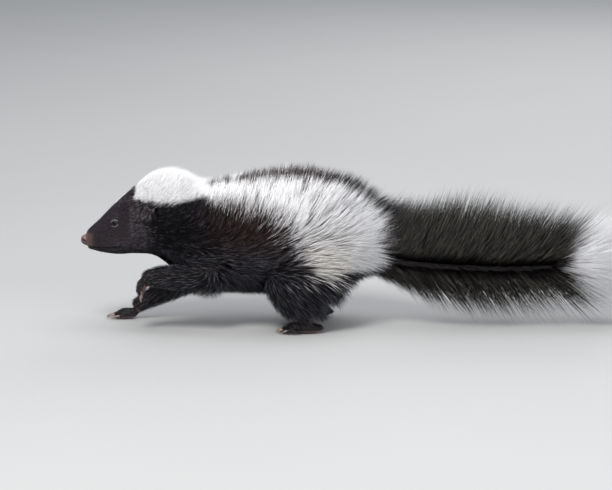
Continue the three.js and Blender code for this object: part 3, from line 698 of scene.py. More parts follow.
@dataclass(frozen=True)
class Markings:
    """Where the coat is white, and the colours of coat and skin.

    Places along the trunk are station numbers, heights round it are degrees: -90 below, 90 on top.
    """

    cap_from: float = 3.05
    cap_fade: tuple[float, float] = (6.0, 6.5)
    cap_overlap: float = 0.6
    cap_low: tuple[float, ...] = (50, 37, 28, 27, 40, 56)
    stripe_from: float = 5.6
    stripe_to: float = 12.75
    stripe_low: tuple[float, ...] = (58, 42, 33, 16, -24, -32, -38, -34)
    stripe_high: tuple[float, ...] = (90, 82, 75, 71, 68, 65, 58, 48)
    stripe_starts_in: float = 0.3
    stripe_ends_in: float = 0.15
    body_ends: float = 0.058
    tail_white_from: float = 0.189
    blaze: tuple[float, float] = (0.80, 2.9)
    blaze_half: float = 0.0023
    muzzle_x: tuple[float, float] = (-0.1515, -0.1575)
    muzzle_z: tuple[float, float] = (0.0735, 0.0700)
    stations_a_degree: float = 0.02
    metres_a_degree: float = 0.0006
    black: Colour = (0.0065, 0.0052, 0.0070)
    brown: Colour = (0.034, 0.018, 0.015)
    # plum: the face's own purplish tone, lightened by painted sheen round the eyes and the muzzle
    plum: Colour = (0.066, 0.051, 0.064)
    # The next two colours are painted highlights, glints painted on the tips of some dark tufts: bluish on
    # the body, greenish on the tail.
    grey: Colour = (0.23, 0.235, 0.28)
    olive_glint: Colour = (0.150, 0.140, 0.108)
    parting: Colour = (0.055, 0.047, 0.048)
    white: Colour = (0.95, 0.94, 0.95)
    cream: Colour = (0.93, 0.86, 0.74)
    dark_root: Colour = (0.06, 0.048, 0.052)
    skin_dark: Colour = (0.0075, 0.0052, 0.0055)
    skin_pale: Colour = (0.45, 0.41, 0.41)
    # lid: the lids' skin, made pale by a painted highlight along the wet rim
    lid: Colour = (0.125, 0.105, 0.110)
    bare_pink: Colour = (0.135, 0.078, 0.077)
    muzzle: Colour = (0.100, 0.064, 0.060)
    # nose: the pad's pink, lightened by a painted highlight; the pad darkens it below with painted shade
    nose: Colour = (0.240, 0.150, 0.155)

    def pinkness(self, points: Array) -> Array:
        """How far the thin hair of the muzzle's tip lets its pink skin show."""
        return ramp(*self.muzzle_x, points[:, 0]) * ramp(*self.muzzle_z, points[:, 2])

    def whiteness(self, animal: Animal, points: Array, blur: Array | float = 0.0) -> Array:
        """How white the coat is at points of the skin.

        Args:
            animal: the sizes of the animal.
            points: rows of coordinates in the animal's frame.
            blur: a shift of the borders in degrees for each point, which ruffles them.

        Returns:
            0 for black to 1 for white.
        """
        t, height, _ = animal.trunk.bearings(points)
        t = t + np.asarray(blur) * self.stations_a_degree
        height = height + blur
        cap_share = (t - self.cap_from) / (self.stripe_from + self.cap_overlap - self.cap_from)
        cap_low = through(self.cap_low, np.clip(cap_share, 0, 1) * (len(self.cap_low) - 1))
        cap = ramp(-0.04, 0.04, t - self.cap_from) * ramp(-2, 2, height - cap_low)
        cap *= 1 - ramp(*self.cap_fade, t)
        share = np.clip((t - self.stripe_from) / (self.stripe_to - self.stripe_from), 0, 1)
        low = through(self.stripe_low, share * (len(self.stripe_low) - 1))
        high = through(self.stripe_high, share * (len(self.stripe_high) - 1))
        stripe = ramp(-2, 2, height - low) * (1 - ramp(-1.5, 1.5, height - high))
        stripe *= ramp(self.stripe_from, self.stripe_from + self.stripe_starts_in, t)
        stripe *= 1 - ramp(self.stripe_to, self.stripe_to + self.stripe_ends_in, t)
        on_body = points[:, 0] < self.body_ends
        beyond = points[:, 0] - self.tail_white_from + np.asarray(blur) * self.metres_a_degree
        tip = ramp(-0.002, 0.004, beyond)
        along = np.clip((t - self.blaze[0]) / (self.blaze[1] - self.blaze[0]), 0, 1)
        wide = self.blaze_half * np.sin(math.pi * along) ** 0.4 * (1 - 0.08 * np.abs(blur))
        blaze = (np.abs(points[:, 1]) < wide) & (height > 0)
        return np.clip(np.maximum.reduce([cap * on_body, stripe * on_body, tip, 1.0 * blaze]), 0, 1)


# Meshes


class Shell:
    """A closed mesh in the making, shaped by operators in the animal's frame."""

    MERGE = 1e-6  # how near points are that become one

    def __init__(self) -> None:
        """Start with nothing."""
        self.mesh = bmesh.new()

    def sleeve(self, shape: Callable[[float, float], Vector], rows: int, sides: int) -> None:
        """Add a closed form from a grid that is wrapped round.

        Args:
            shape: the point at a share along and a turn round, both from 0 to 1.
            rows: steps along.
            sides: steps round.
        """
        made = bmesh.ops.create_grid(self.mesh, x_segments=rows, y_segments=sides, size=0.5)["verts"]
        for vertex in made:
            vertex.co = shape(vertex.co.x + 0.5, vertex.co.y + 0.5)
        bmesh.ops.remove_doubles(self.mesh, verts=made, dist=self.MERGE)

    def ball(self, centre: Vector, size: Vector, pose: Matrix | None = None, rows: int = 12) -> None:
        """Add an ellipsoid, turned by a pose."""
        place = (pose or Matrix()) @ Matrix.Translation(centre) @ Matrix.Diagonal((*size, 1.0))
        bmesh.ops.create_uvsphere(self.mesh, u_segments=2 * rows, v_segments=rows, radius=1.0, matrix=place)

    def rod(
        self, stops: Sequence[tuple[Vector, float]], pose: Matrix, rows: int = 12, sides: int = 10
    ) -> None:
        """Add a round rod with soft ends.

        Args:
            stops: places along the rod, each with its radius.
            pose: the frame that the places are given in.
            rows: steps along.
            sides: steps round.
        """
        middle = [pose @ stop[0] for stop in stops]
        radii = [stop[1] for stop in stops]
        last = len(stops) - 1

        def line(part: float) -> Vector:
            """The rod's middle at a share along it."""
            return Vector([float(through([p[k] for p in middle], part * last)) for k in range(3)])

        def shape(along: float, around: float) -> Vector:
            """A point of the rod's surface."""
            part = eased(along)
            before, after = max(0.0, part - SMALL_STEP), min(1.0, part + SMALL_STEP)
            ahead = (line(after) - line(before)).normalized()
            across = ahead.cross(BESIDE).normalized()
            rise = across.cross(ahead)
            r = float(through(radii, part * last)) * rounded(along, 1.6)
            a = 2 * math.pi * around
            return line(part) + across * r * math.cos(a) + rise * r * math.sin(a)

        self.sleeve(shape, rows, sides)

    def tube(self, limb: Limb, rows: int = 40, sides: int = 24) -> None:
        """Add a limb with rounded ends."""

        def shape(along: float, around: float) -> Vector:
            """A point of the limb's surface."""
            return limb.point(eased(along) * limb.last, 2 * math.pi * around, rounded(along, 1.5))

        self.sleeve(shape, rows, sides)

    def put(self, name: str) -> bpy.types.Object:
        """Make the object, with faces outwards and everything moved to the solids' frame."""
        bmesh.ops.recalc_face_normals(self.mesh, faces=self.mesh.faces)
        bmesh.ops.translate(self.mesh, verts=self.mesh.verts, vec=Vector((AHEAD, 0, 0)))
        data = bpy.data.meshes.new(name)
        self.mesh.to_mesh(data)
        self.mesh.free()
        data.shade_smooth()
        return shown(name, data)


def shown(name: str, data: bpy.types.ID) -> bpy.types.Object:
    """Make an object for a mesh, a light or a camera and put it into the scene."""
    made = bpy.data.objects.new(name, data)
    bpy.context.scene.collection.objects.link(made)
    return made


def coordinates(data: bpy.types.Mesh) -> Array:
    """The mesh's vertices as rows, in the animal's frame."""
    points = np.empty(len(data.vertices) * 3, np.float32)
    data.vertices.foreach_get("co", points)
    points = points.reshape(-1, 3).astype(float)
    points[:, 0] -= AHEAD
    return points


def outward(data: bpy.types.Mesh) -> Array:
    """The directions out of the mesh's surface at its vertices, as rows."""
    rows = np.empty(len(data.vertices) * 3, np.float32)
    data.vertices.foreach_get("normal", rows)
    return rows.reshape(-1, 3).astype(float)


def place_vertices(data: bpy.types.Mesh, points: Array) -> None:
    """Put the mesh's vertices at rows of coordinates in the animal's frame."""
    moved = points.copy()
    moved[:, 0] += AHEAD
    data.vertices.foreach_set("co", moved.astype(np.float32).ravel())


def paint(data: bpy.types.Mesh, colours: Array) -> None:
    """Store a colour for each vertex of a mesh."""
    layer = data.color_attributes.new(PAINT, "FLOAT_COLOR", "POINT")
    rows = np.concatenate([colours, np.ones((len(colours), 1))], axis=1)
    layer.data.foreach_set("color", rows.astype(np.float32).ravel())


def dress(piece: bpy.types.Object, material: bpy.types.Material) -> bpy.types.Object:
    """Give a piece its material and the body it rides on."""
    piece.data.materials.clear()
    piece.data.materials.append(material)
    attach(piece, BODY)
    LOG.info("%s: %d faces", piece.name, len(piece.data.polygons))
    return piece


# Eyes and lids


@dataclass(frozen=True)
class Eye:
    """One eye and its lids."""

    side: Side
    x: float = -0.1372
    y: float = 0.0120
    z: float = 0.0804
    radius: float = 0.0034
    cornea: float = 0.0003
    aim: tuple[float, float] = (-0.40, 0.20)
    slant: float = 0.22
    open_long: float = 0.0027
    open_high: float = 0.0024
    lid: float = 0.00046
    upper_lid: float = 1.25
    lid_section: tuple[float, float] = (1.15, 0.8)
    rear_corner: tuple[float, float] = (0.2, 6)
    front_corner: tuple[float, float] = (0.3, 8)

    @property
    def centre(self) -> Vector:
        """The middle of the eyeball."""
        return Vector((self.x, self.side.value * self.y, self.z))

    @property
    def gaze(self) -> Vector:
        """The way the eye looks: outwards, forwards and a little up."""
        forward, up = self.aim
        return Vector((forward, self.side.value, up)).normalized()

    @property
    def axes(self) -> tuple[Vector, Vector]:
        """The long and the high direction of the opening, the long one tipped down in front."""
        long = Vector((1.0, 0.0, self.slant))
        long = (long - self.gaze * long.dot(self.gaze)).normalized()
        high = self.gaze.cross(long)
        return long, high if high.z > 0 else -high

    def build_ball(self, material: bpy.types.Material) -> bpy.types.Object:
        """Make the eyeball with a slightly raised cornea."""
        shell = Shell()
        shell.ball(self.centre, Vector((self.radius,) * 3), rows=24)
        for vertex in shell.mesh.verts:
            facing = (vertex.co - self.centre).normalized().dot(self.gaze)
            vertex.co += self.gaze * self.cornea * float(ramp(0.6, 1.0, facing))
        name = f"eye_{self.side.name.lower()}_ball"
        return dress(shell.put(name), material)

    def build_lids(self, material: bpy.types.Material, markings: Markings) -> bpy.types.Object:
        """Make both lids as one soft rim that follows the ball.

        Args:
            material: what it is dressed in.
            markings: the shared colours.

        Returns:
            The lids.
        """
        long, high = self.axes
        (rear, rear_point), (front, front_point) = self.rear_corner, self.front_corner
        wide, proud = self.lid_section
        shell = Shell()

        def shape(around: float, across: float) -> Vector:
            """A point of the rim, round the eye and round its own section."""
            a, b = 2 * math.pi * around, 2 * math.pi * across
            drawn = 1 + rear * max(0.0, math.cos(a)) ** rear_point
            drawn += front * max(0.0, -math.cos(a)) ** front_point
            out = long * math.cos(a) * self.open_long * drawn + high * math.sin(a) * self.open_high
            depth = math.sqrt(max(self.radius**2 - out.length**2, 0.0))
            thick = self.lid * (self.upper_lid if math.sin(a) > 0 else 1.0)
            middle = self.centre + out + self.gaze * (depth + 0.25 * thick)
            section = out.normalized() * wide * thick * math.cos(b)
            return middle + section + self.gaze * proud * thick * math.sin(b)

        shell.sleeve(shape, 48, 12)
        piece = shell.put(f"lids_{self.side.name.lower()}")
        # The pale lid colour is partly a painted highlight along the wet rim.
        paint(piece.data, np.tile(np.array(markings.lid), (len(piece.data.vertices), 1)))
        return dress(piece, material)


# The skin


@dataclass(frozen=True)
class FaceForm:
    """How the mouth, the sockets and the brows are pressed into the head.

    Rim and brow are placed and sized in shares of the eye's opening, all else is in metres.
    """

    slit_deep: float = 0.0010
    slit_wide: float = 0.0006
    lip_high: float = 0.00035
    lip_from: float = 0.0016
    lip_wide: float = 0.0008
    socket_reach: float = 0.012
    under_ball: float = 0.0009
    rim_at: float = 1.55
    rim_wide: float = 0.35
    rim_level: float = 0.0021
    rim_most: tuple[float, float] = (-0.0016, 0.0008)
    rim_share: float = 0.8
    brow_high: float = 0.0007
    brow_at: tuple[float, float] = (0.2, 2.5)
    brow_size: tuple[float, float] = (1.2, 0.6)


@dataclass
class Skin:
    """One skin from nose to tail, with paws and ears, in place of the solids of flesh."""

    animal: Animal
    markings: Markings
    eyes: tuple[Eye, ...]
    face: FaceForm = FaceForm()
    voxel: float = 0.00125
    trunk_rows: int = 130
    trunk_sides: int = 48
    end_rows: float = 0.35
    ear_x: float = -0.1132
    ear_y: float = 0.0232
    ear_z: float = 0.0885
    ear_turn: float = -34.0
    ear_lean: float = -12.0
    ear_size: tuple[float, float, float] = (0.0023, 0.0066, 0.0080)
    ear_hollow: float = 0.0042
    mouth_corner: tuple[float, float] = (-0.1345, 0.0630)
    mouth_front: tuple[float, float] = (-0.1600, 0.0606)
    mouth_bend: float = 1.4
    bare_nose: tuple[float, float] = (-0.1560, -0.1602)
    sole_edge: float = 0.002
    fine_to: float = -0.118
    smooth_to: float = -0.116
    nodes: tuple[str, ...] = (
        "head", "lower_jaw", "crown", "nape", "neck", "torso", "tail", "tail_tip",
        "ear_left", "ear_right", "stripe_left", "stripe_right",
        "fore_leg_left", "fore_leg_right", "hind_leg_left", "hind_leg_right",
        "fore_paw_left", "fore_paw_right", "hind_foot_left", "hind_foot_right",
    )

    def ear_pose(self, side: Side) -> Matrix:
        """The place and turn of one ear, whose cup faces forwards and out."""
        place = Matrix.Translation((self.ear_x, side.value * self.ear_y, self.ear_z))
        turn = Matrix.Rotation(side.value * math.radians(self.ear_turn), 4, "Z")
        lean = Matrix.Rotation(side.value * math.radians(self.ear_lean), 4, "X")
        return place @ lean @ turn

    def _trunk(self, shell: Shell) -> None:
        """Add head, neck and body."""
        trunk = self.animal.trunk

        def shape(along: float, around: float) -> Vector:
            """A point of the trunk, with more rows near its ends."""
            part = along - math.sin(2 * math.pi * along) / (2 * math.pi) * self.end_rows
            return trunk.point(part * trunk.last, 2 * math.pi * around, rounded(along, 6.0))

        shell.sleeve(shape, self.trunk_rows, self.trunk_sides)

    def _paws(self, shell: Shell) -> None:
        """Add palms, toes and their pads."""
        for paw in self.animal.paws:
            size = Vector((paw.length / 2 + 0.0035, paw.width / 2, paw.height / 2))
            shell.ball(Vector((-paw.length / 2, 0, 0)), size, paw.pose)
            for number in range(paw.toes):
                root, end, _ = paw.toe_line(number)
                r = paw.toe_radius
                middle = (root + end) / 2 + Vector((0, 0, 0.0007))
                shell.rod([(root, r * 1.1), (middle, r * 0.95), (end, r * 1.02)], paw.pose)

    def _ears(self, shell: Shell) -> None:
        """Add two ear shells, each a bowl with a rounded rim.

        Args:
            shell: the mesh in the making.
        """
        thick, wide, tall = self.ear_size
        for side in Side:
            pose = self.ear_pose(side)

            def shape(along: float, around: float, pose: Matrix = pose) -> Vector:
                """A point of the ear, from the front of the bowl over its rim to the back."""
                lean = math.pi * (along - 0.5)
                turn = 2 * math.pi * around
                ring = math.cos(lean)
                y, z = math.cos(turn) * ring * wide, math.sin(turn) * ring * tall
                hollow = self.ear_hollow * max(0.0, 1 - (y / wide) ** 2 - (z / tall) ** 2)
                x = math.sin(lean) * thick * 0.5 + hollow
                return pose @ Vector((x, y, z))

            shell.sleeve(shape, 24, 32)

    def _remeshed(self, shell: Shell) -> bpy.types.Object:
        """Fuse all forms into one closed skin and smooth it.

        Args:
            shell: the mesh in the making.

        Returns:
            The skin as one closed piece, not yet coloured.
        """
        piece = shell.put("skin")
        fuse = piece.modifiers.new("fuse", "REMESH")
        fuse.mode = "VOXEL"
        fuse.voxel_size = self.voxel
        graph = bpy.context.evaluated_depsgraph_get()
        fused = bpy.data.meshes.new_from_object(piece.evaluated_get(graph))
        piece.modifiers.clear()
        piece.data = fused
        work = bmesh.new()
        work.from_mesh(fused)
        self._smooth(work, list(work.verts), 3)
        head = [e for e in work.edges if all(v.co.x - AHEAD < self.fine_to for v in e.verts)]
        bmesh.ops.subdivide_edges(work, edges=head, cuts=1, use_grid_fill=True)
        self._smooth(work, [v for v in work.verts if v.co.x - AHEAD < self.smooth_to], 2)
        work.to_mesh(fused)
        work.free()
        return piece

    @staticmethod
    def _smooth(work: bmesh.types.BMesh, verts: list[bmesh.types.BMVert], times: int) -> None:
        """Smooth some vertices a few times."""
        axes = {"use_axis_x": True, "use_axis_y": True, "use_axis_z": True}
        for _ in range(times):
            bmesh.ops.smooth_vert(work, verts=verts, factor=0.5, **axes)

    def mouth(self, points: Array) -> tuple[Array, Array]:
        """How far points lie above the line of the mouth, and whether they are along it."""
        (back_x, back_z), (front_x, front_z) = self.mouth_corner, self.mouth_front
        share = (points[:, 0] - front_x) / (back_x - front_x)
        line = front_z + (back_z - front_z) * np.clip(share, 0, None) ** self.mouth_bend
        return points[:, 2] - line, ramp(1.06, 0.95, share) * ramp(-0.25, 0.0, share)

    def _face(self, points: Array, normals: Array) -> Array:
        """Press the mouth, the sockets and the brows into the head.

        Args:
            points: rows of coordinates in the animal's frame.
            normals: the directions out of the surface at them.

        Returns:
            The moved points.
        """
        form = self.face
        above, along = self.mouth(points)
        face_side = ramp(0.3, 0.6, np.abs(normals[:, 1]) + np.clip(-normals[:, 0], 0, 1))
        slit = hump(above, form.slit_wide) * along * face_side
        lips = hump(np.abs(above) - form.lip_from, form.lip_wide) * along * face_side
        moved = points + normals * (form.lip_high * lips - form.slit_deep * slit)[:, None]
        for eye in self.eyes:
            centre, gaze = np.array(eye.centre), np.array(eye.gaze)
            long, high = (np.array(axis) for axis in eye.axes)
            away = moved - centre
            depth = away @ gaze
            u, v = (away @ long) / eye.open_long, (away @ high) / eye.open_high
            reach = np.hypot(u, v)
            near = (depth > -0.002) & (np.linalg.norm(away, axis=1) < form.socket_reach)
            ball = np.sqrt(np.maximum(eye.radius**2 - (away @ long) ** 2 - (away @ high) ** 2, 0))
            inside = near * ramp(1.12, 0.9, reach)
            moved += gaze * (inside * np.minimum(ball - form.under_ball - depth, 0))[:, None]
            rim = near * hump(reach - form.rim_at, form.rim_wide)
            lift = np.clip(form.rim_level - depth, *form.rim_most)
            moved += gaze * (rim * lift * form.rim_share)[:, None]
            brow = near * hump(v - form.brow_at[1], form.brow_size[1])
            brow = brow * hump(u - form.brow_at[0], form.brow_size[0])
            moved += gaze * (form.brow_high * brow)[:, None]
        return moved

    def colours(self, points: Array, normals: Array) -> tuple[Array, Array]:
        """The skin's colour at its points, and how bare it is there.

        Args:
            points: rows of coordinates in the animal's frame.
            normals: the skin's outward directions.

        Returns:
            Rows of colour, and a share from 0 for furred to 1 for bare.
        """
        marks = self.markings
        white = marks.whiteness(self.animal, points)
        colour = blend(np.array(marks.skin_dark), np.array(marks.skin_pale), white)
        nose = ramp(*self.bare_nose, points[:, 0])
        soles = np.zeros(len(points))
        for paw in self.animal.paws:
            local = seen_from(paw.pose, points)
            reach = (np.abs(local[:, 1]) < paw.width / 2 + self.sole_edge) & (local[:, 0] < 0.004)
            reach &= (local[:, 0] > -paw.length - 0.014) & (np.abs(local[:, 2]) < paw.height)
            down = normals @ np.array(paw.pose.to_3x3() @ Vector((0, 0, -1)))
            soles = np.maximum(soles, reach * ramp(0.25, 0.6, down))
        above, along = self.mouth(points)
        lips = hump(above, 0.0009) * along
        muzzle = marks.pinkness(points)
        bare = np.clip(np.maximum(nose, soles), 0, 1)
        colour = blend(blend(colour, np.array(marks.muzzle), muzzle), np.array(marks.bare_pink), bare)
        bare = np.maximum(bare, 0.45 * muzzle)
        # Painted shade along the slit of the mouth.
        colour = colour * (1 - 0.75 * lips)[:, None]
        return colour, np.maximum(bare, hump(above, 0.0005) * along)

    def build(self, material: bpy.types.Material) -> bpy.types.Object:
        """Make the skin, fit its face, paint its markings and unwrap it.

        Args:
            material: what it is dressed in.

        Returns:
            The piece.
        """
        shell = Shell()
        self._trunk(shell)
        for limb in self.animal.limbs.values():
            shell.tube(limb)
        self._paws(shell)
        self._ears(shell)
        piece = self._remeshed(shell)
        data = piece.data
        points = coordinates(data)
        points[:, 2] = np.maximum(points[:, 2], 0.0)
        normals = outward(data)
        points = self._face(points, normals)
        place_vertices(data, points)
        data.update()
        colour, _ = self.colours(points, normals)
        paint(data, colour)
        data.shade_smooth()
        self._unwrap(piece)
        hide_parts(*self.nodes)
        return dress(piece, material)

    @staticmethod
    def _unwrap(piece: bpy.types.Object) -> None:
        """Lay the skin out flat in a map of its own."""
        piece.data.uv_layers.new(name=UNWRAP)
        bpy.context.view_layer.objects.active = piece
        for other in bpy.context.selected_objects:
            other.select_set(False)
        piece.select_set(True)
        bpy.ops.object.mode_set(mode="EDIT")
        bpy.ops.mesh.select_all(action="SELECT")
        bpy.ops.uv.smart_project(angle_limit=math.radians(66), island_margin=0.002)
        bpy.ops.object.mode_set(mode="OBJECT")
        piece.select_set(False)


# The coat


@dataclass(frozen=True)
class Roots:
    """Places on the skin where tufts grow."""

    point: Array
    normal: Array
    uv: Array

    def part(self, chosen: Array) -> "Roots":
        """Only the chosen places."""
        return Roots(self.point[chosen], self.normal[chosen], self.uv[chosen])


def scatter(
    skin: bpy.types.Object, count: int, density: Callable[[Array, Array], Array], seed: int
) -> Roots:
    """Set places evenly over the skin.

    Args:
        skin: the skin's object, with its unwrap.
        count: how many places.
        density: the wanted density for rows of points and normals.
        seed: starts the random numbers.

    Returns:
        The places, in the animal's frame.
    """
    data = skin.data
    data.calc_loop_triangles()
    total = len(data.loop_triangles)
    corners = np.empty(total * 3, np.int32)
    loops = np.empty(total * 3, np.int32)
    data.loop_triangles.foreach_get("vertices", corners)
    data.loop_triangles.foreach_get("loops", loops)
    corners, loops = corners.reshape(-1, 3), loops.reshape(-1, 3)
    points, normals = coordinates(data), outward(data)
    uvs = np.empty(len(data.loops) * 2, np.float32)
    data.uv_layers[UNWRAP].data.foreach_get("uv", uvs)
    uvs = uvs.reshape(-1, 2).astype(float)
    a, b, c = (points[corners[:, k]] for k in range(3))
    area = np.linalg.norm(np.cross(b - a, c - a), axis=1) / 2
    middle = (a + b + c) / 3
    weight = area * density(middle, unit(normals[corners].sum(axis=1)))
    rng = np.random.default_rng(seed)
    running = np.cumsum(weight)
    wanted = (np.arange(count) + rng.random(count)) / count * running[-1]
    chosen = np.minimum(np.searchsorted(running, wanted), total - 1)
    share = rng.random((count, 2))
    over = share.sum(axis=1) > 1
    share[over] = 1 - share[over]
    parts = np.column_stack([1 - share.sum(axis=1), share])[:, :, None]
    return Roots(
        (points[corners[chosen]] * parts).sum(axis=1),
        unit((normals[corners[chosen]] * parts).sum(axis=1)),
        (uvs[loops[chosen]] * parts).sum(axis=1),
    )


@dataclass
class Tufts:
    """Tufts ready to be made: one row of each array for each tuft."""

    root: Array
    start: Array
    end: Array
    face: Array
    length: Array
    width: Array
    root_colour: Array
    tip_colour: Array
    uv: Array
    sink: float = 0.0004
    uv_patch: float = 0.003
    flatness: float = 0.62
    off_the_floor: float = 0.0003

    def part(self, chosen: Array) -> "Tufts":
        """Only the chosen tufts."""
        rows = {entry.name: getattr(self, entry.name) for entry in fields(self)}
        return replace(self, **{key: row[chosen] for key, row in rows.items() if isinstance(row, Array)})

    def build(self, name: str, steps: Sequence[float], taper: Sequence[float]) -> bpy.types.Object:
        """Make all tufts as one mesh of closed, three-sided, tapered solids.

        Args:
            name: the piece's name.
            steps: the shares of the length at which a tuft has a ring.
            taper: the share of the width at each ring; the tuft ends in a point.

        Returns:
            The object.
        """
        count, rings = len(self.root), len(steps)
        across = unit(np.cross(self.start, self.face))
        points = np.empty((count, 3 * rings + 1, 3))
        shade = np.empty((count, 3 * rings + 1, 3))
        flat = np.empty((count, 3 * rings + 1, 2))
        for i, (step, share) in enumerate(zip(steps, taper)):
            middle = self._along(step)
            ahead = unit(blend(self.start, self.end, np.full(count, step)))
            rise = unit(np.cross(across, ahead))
            for j in range(3):
                a = 2 * math.pi * j / 3
                offset = across * math.cos(a) + rise * math.sin(a) * self.flatness
                points[:, 3 * i + j] = middle + offset * (self.width * share / 2)[:, None]
                shade[:, 3 * i + j] = self._tone(step)
                flat[:, 3 * i + j] = self.uv + self.uv_patch * np.array([j / 2 - 0.5, step - 0.5])
        points[:, -1] = self._along(1.0)
        shade[:, -1] = self._tone(1.0)
        flat[:, -1] = self.uv + self.uv_patch * np.array([0.0, 0.5])
        points[..., 2] = np.maximum(points[..., 2], self.off_the_floor)
        faces = self._faces(rings)
        every = (faces[None] + (np.arange(count) * (3 * rings + 1))[:, None, None]).reshape(-1, 3)
        data = bpy.data.meshes.new(name)
        data.vertices.add(points.shape[0] * points.shape[1])
        data.loops.add(every.size)
        data.polygons.add(len(every))
        data.loops.foreach_set("vertex_index", every.astype(np.int32).ravel())
        data.polygons.foreach_set("loop_start", np.arange(0, every.size, 3, dtype=np.int32))
        data.polygons.foreach_set("use_smooth", np.ones(len(every), bool))
        place_vertices(data, points.reshape(-1, 3))
        data.update(calc_edges=True)
        paint(data, np.clip(shade.reshape(-1, 3), 0, 1))
        layer = data.uv_layers.new(name=UNWRAP)
        layer.data.foreach_set("uv", flat.reshape(-1, 2)[every.ravel()].astype(np.float32).ravel())
        return shown(name, data)

    def _along(self, step: float) -> Array:
        """The middle line of every tuft at a share of its length, from just under the skin."""
        bend = self.start * (step - step**2 / 2) + self.end * (step**2 / 2)
        return self.root - self.start * self.sink * (1 - step) + bend * self.length[:, None]

    def _tone(self, step: float) -> Array:
        """The colour of every tuft at a share of its length."""
        return blend(self.root_colour, self.tip_colour, np.full(len(self.root), min(1.0, step * 2.0)))

    @staticmethod
    def _faces(rings: int) -> Array:
        """The faces of one tuft with so many rings of three."""
        faces = [(0, 2, 1)]
        for i in range(rings - 1):
            for j in range(3):
                a, b = 3 * i + j, 3 * i + (j + 1) % 3
                faces += [(a, b, b + 3), (a, b + 3, a + 3)]
        last, tip = 3 * (rings - 1), 3 * rings
        faces += [(last + j, last + (j + 1) % 3, tip) for j in range(3)]
        return np.array(faces)


@dataclass(frozen=True)
class Growth:
    """How the coat grows on the trunk and the legs.

    The trunk's rows run from the belly to the back, each with one value for each station. Length is
    in millimetres. Slope is how the lie climbs in the side view, in degrees from straight rearward.
    Stand is how much the coat leaves the skin. The legs' lengths have one value for each joint.
    Fullness is the share of the length in front of a leg, and what is added behind it.
    """

    heights: tuple[float, ...] = (-80, -15, 30, 85)
    length: tuple[tuple[float, ...], ...] = (
        (1.2, 1.6, 2.2, 2.8, 5.5, 12, 12, 10, 10, 10, 11, 13, 17, 18),
        (1.2, 1.6, 2.1, 2.7, 3.7, 7, 10, 13, 15, 17, 19, 22, 26, 28),
        (1.2, 1.6, 2.1, 3.0, 5, 10.5, 16, 21, 25, 27, 29, 31, 32, 32),
        (1.3, 2.0, 2.7, 3.9, 9, 12, 15.5, 19, 24, 26.5, 28, 32, 39, 41),
    )
    slope: tuple[tuple[float, ...], ...] = (
        (0, 0, 0, 0, -15, -45, -50, -35, -35, -35, -38, -40, -35, -30),
        (0, 0, 0, 0, 5, 0, 5, 20, 35, 20, 5, -8, -15, -18),
        (5, 5, 10, 15, 30, 40, 62, 72, 76, 70, 58, 42, 28, 18),
        (12, 14, 20, 30, 50, 60, 70, 76, 80, 78, 69, 58, 50, 46),
    )
    stand: tuple[tuple[float, ...], ...] = (
        (0.2, 0.2, 0.2, 0.25, 0.35, 0.4, 0.45, 0.5, 0.5, 0.5, 0.5, 0.5, 0.5, 0.5),
        (0.2, 0.2, 0.2, 0.25, 0.35, 0.5, 0.7, 0.9, 1.0, 0.9, 0.7, 0.6, 0.5, 0.4),
        (0.22, 0.22, 0.22, 0.3, 0.6, 0.6, 0.6, 0.55, 0.55, 0.55, 0.5, 0.45, 0.4, 0.35),
        (0.25, 0.32, 0.38, 0.5, 0.9, 0.8, 0.6, 0.5, 0.5, 0.5, 0.45, 0.4, 0.35, 0.3),
    )
    fore_length: tuple[float, ...] = (12, 10, 8, 6.5, 4.5, 3.0)
    hind_length: tuple[float, ...] = (20, 19, 17, 14, 10, 5)
    leg_stand: float = 0.45
    foot_stand: float = 0.26
    foot_from: float = 4.6
    foot_length: float = 0.003
    hind_fullness: tuple[float, float] = (0.5, 0.8)
    fore_fullness: tuple[float, float] = (0.75, 0.25)
    hind_sweep: float = 1.1
    fore_sweep: float = 0.25
    velvet_below: float = 4.1

    def read(self, name: str, t: Array, height: Array) -> Array:
        """One measure of the trunk's coat by station number and height round the section."""
        rows = np.stack([through(row, t) for row in getattr(self, name)])
        place = np.interp(height, self.heights, range(len(self.heights)))
        start = np.minimum(place.astype(int), len(rows) - 2)
        part = ramp(0, 1, place - start)
        pick = np.arange(len(rows[0]))
        return rows[start, pick] * (1 - part) + rows[start + 1, pick] * part


@dataclass(frozen=True)
class Plume:
    """The tail's hair, parted at its sides into an upper and a lower fan.

    The reaches say how far it stands off the middle line, in metres. The leans say how far it tips
    to the rear, in degrees.
    """

    x: tuple[float, ...] = (0.047, 0.062, 0.084, 0.110, 0.138, 0.166, 0.188, 0.205)
    up: tuple[float, ...] = (0.043, 0.048, 0.056, 0.061, 0.060, 0.054, 0.048, 0.044)
    down: tuple[float, ...] = (0.023, 0.028, 0.040, 0.047, 0.047, 0.045, 0.043, 0.042)
    side: tuple[float, ...] = (0.022, 0.023, 0.025, 0.027, 0.027, 0.026, 0.027, 0.028)
    lean_up: tuple[float, ...] = (34, 22, 14, 12, 14, 20, 34, 60)
    lean_down: tuple[float, ...] = (40, 34, 28, 26, 26, 30, 42, 60)
    parting: float = 11.0
    parting_length: float = 0.0085
    parting_lean: tuple[float, float] = (16, 12)
    parting_shines_to: float = 0.186
    fan_from: float = 29.0
    uneven_lean: float = 4.0
    end_lean: float = 84.0
    end_cap: tuple[float, float] = (0.180, 0.192)
    end_x: float = 0.2550
    shortest: float = 0.004
    bend: float = 0.14
    lock: int = 50

    def read(self, name: str, x: Array) -> Array:
        """One measure at places along X."""
        return np.interp(x, self.x, getattr(self, name))


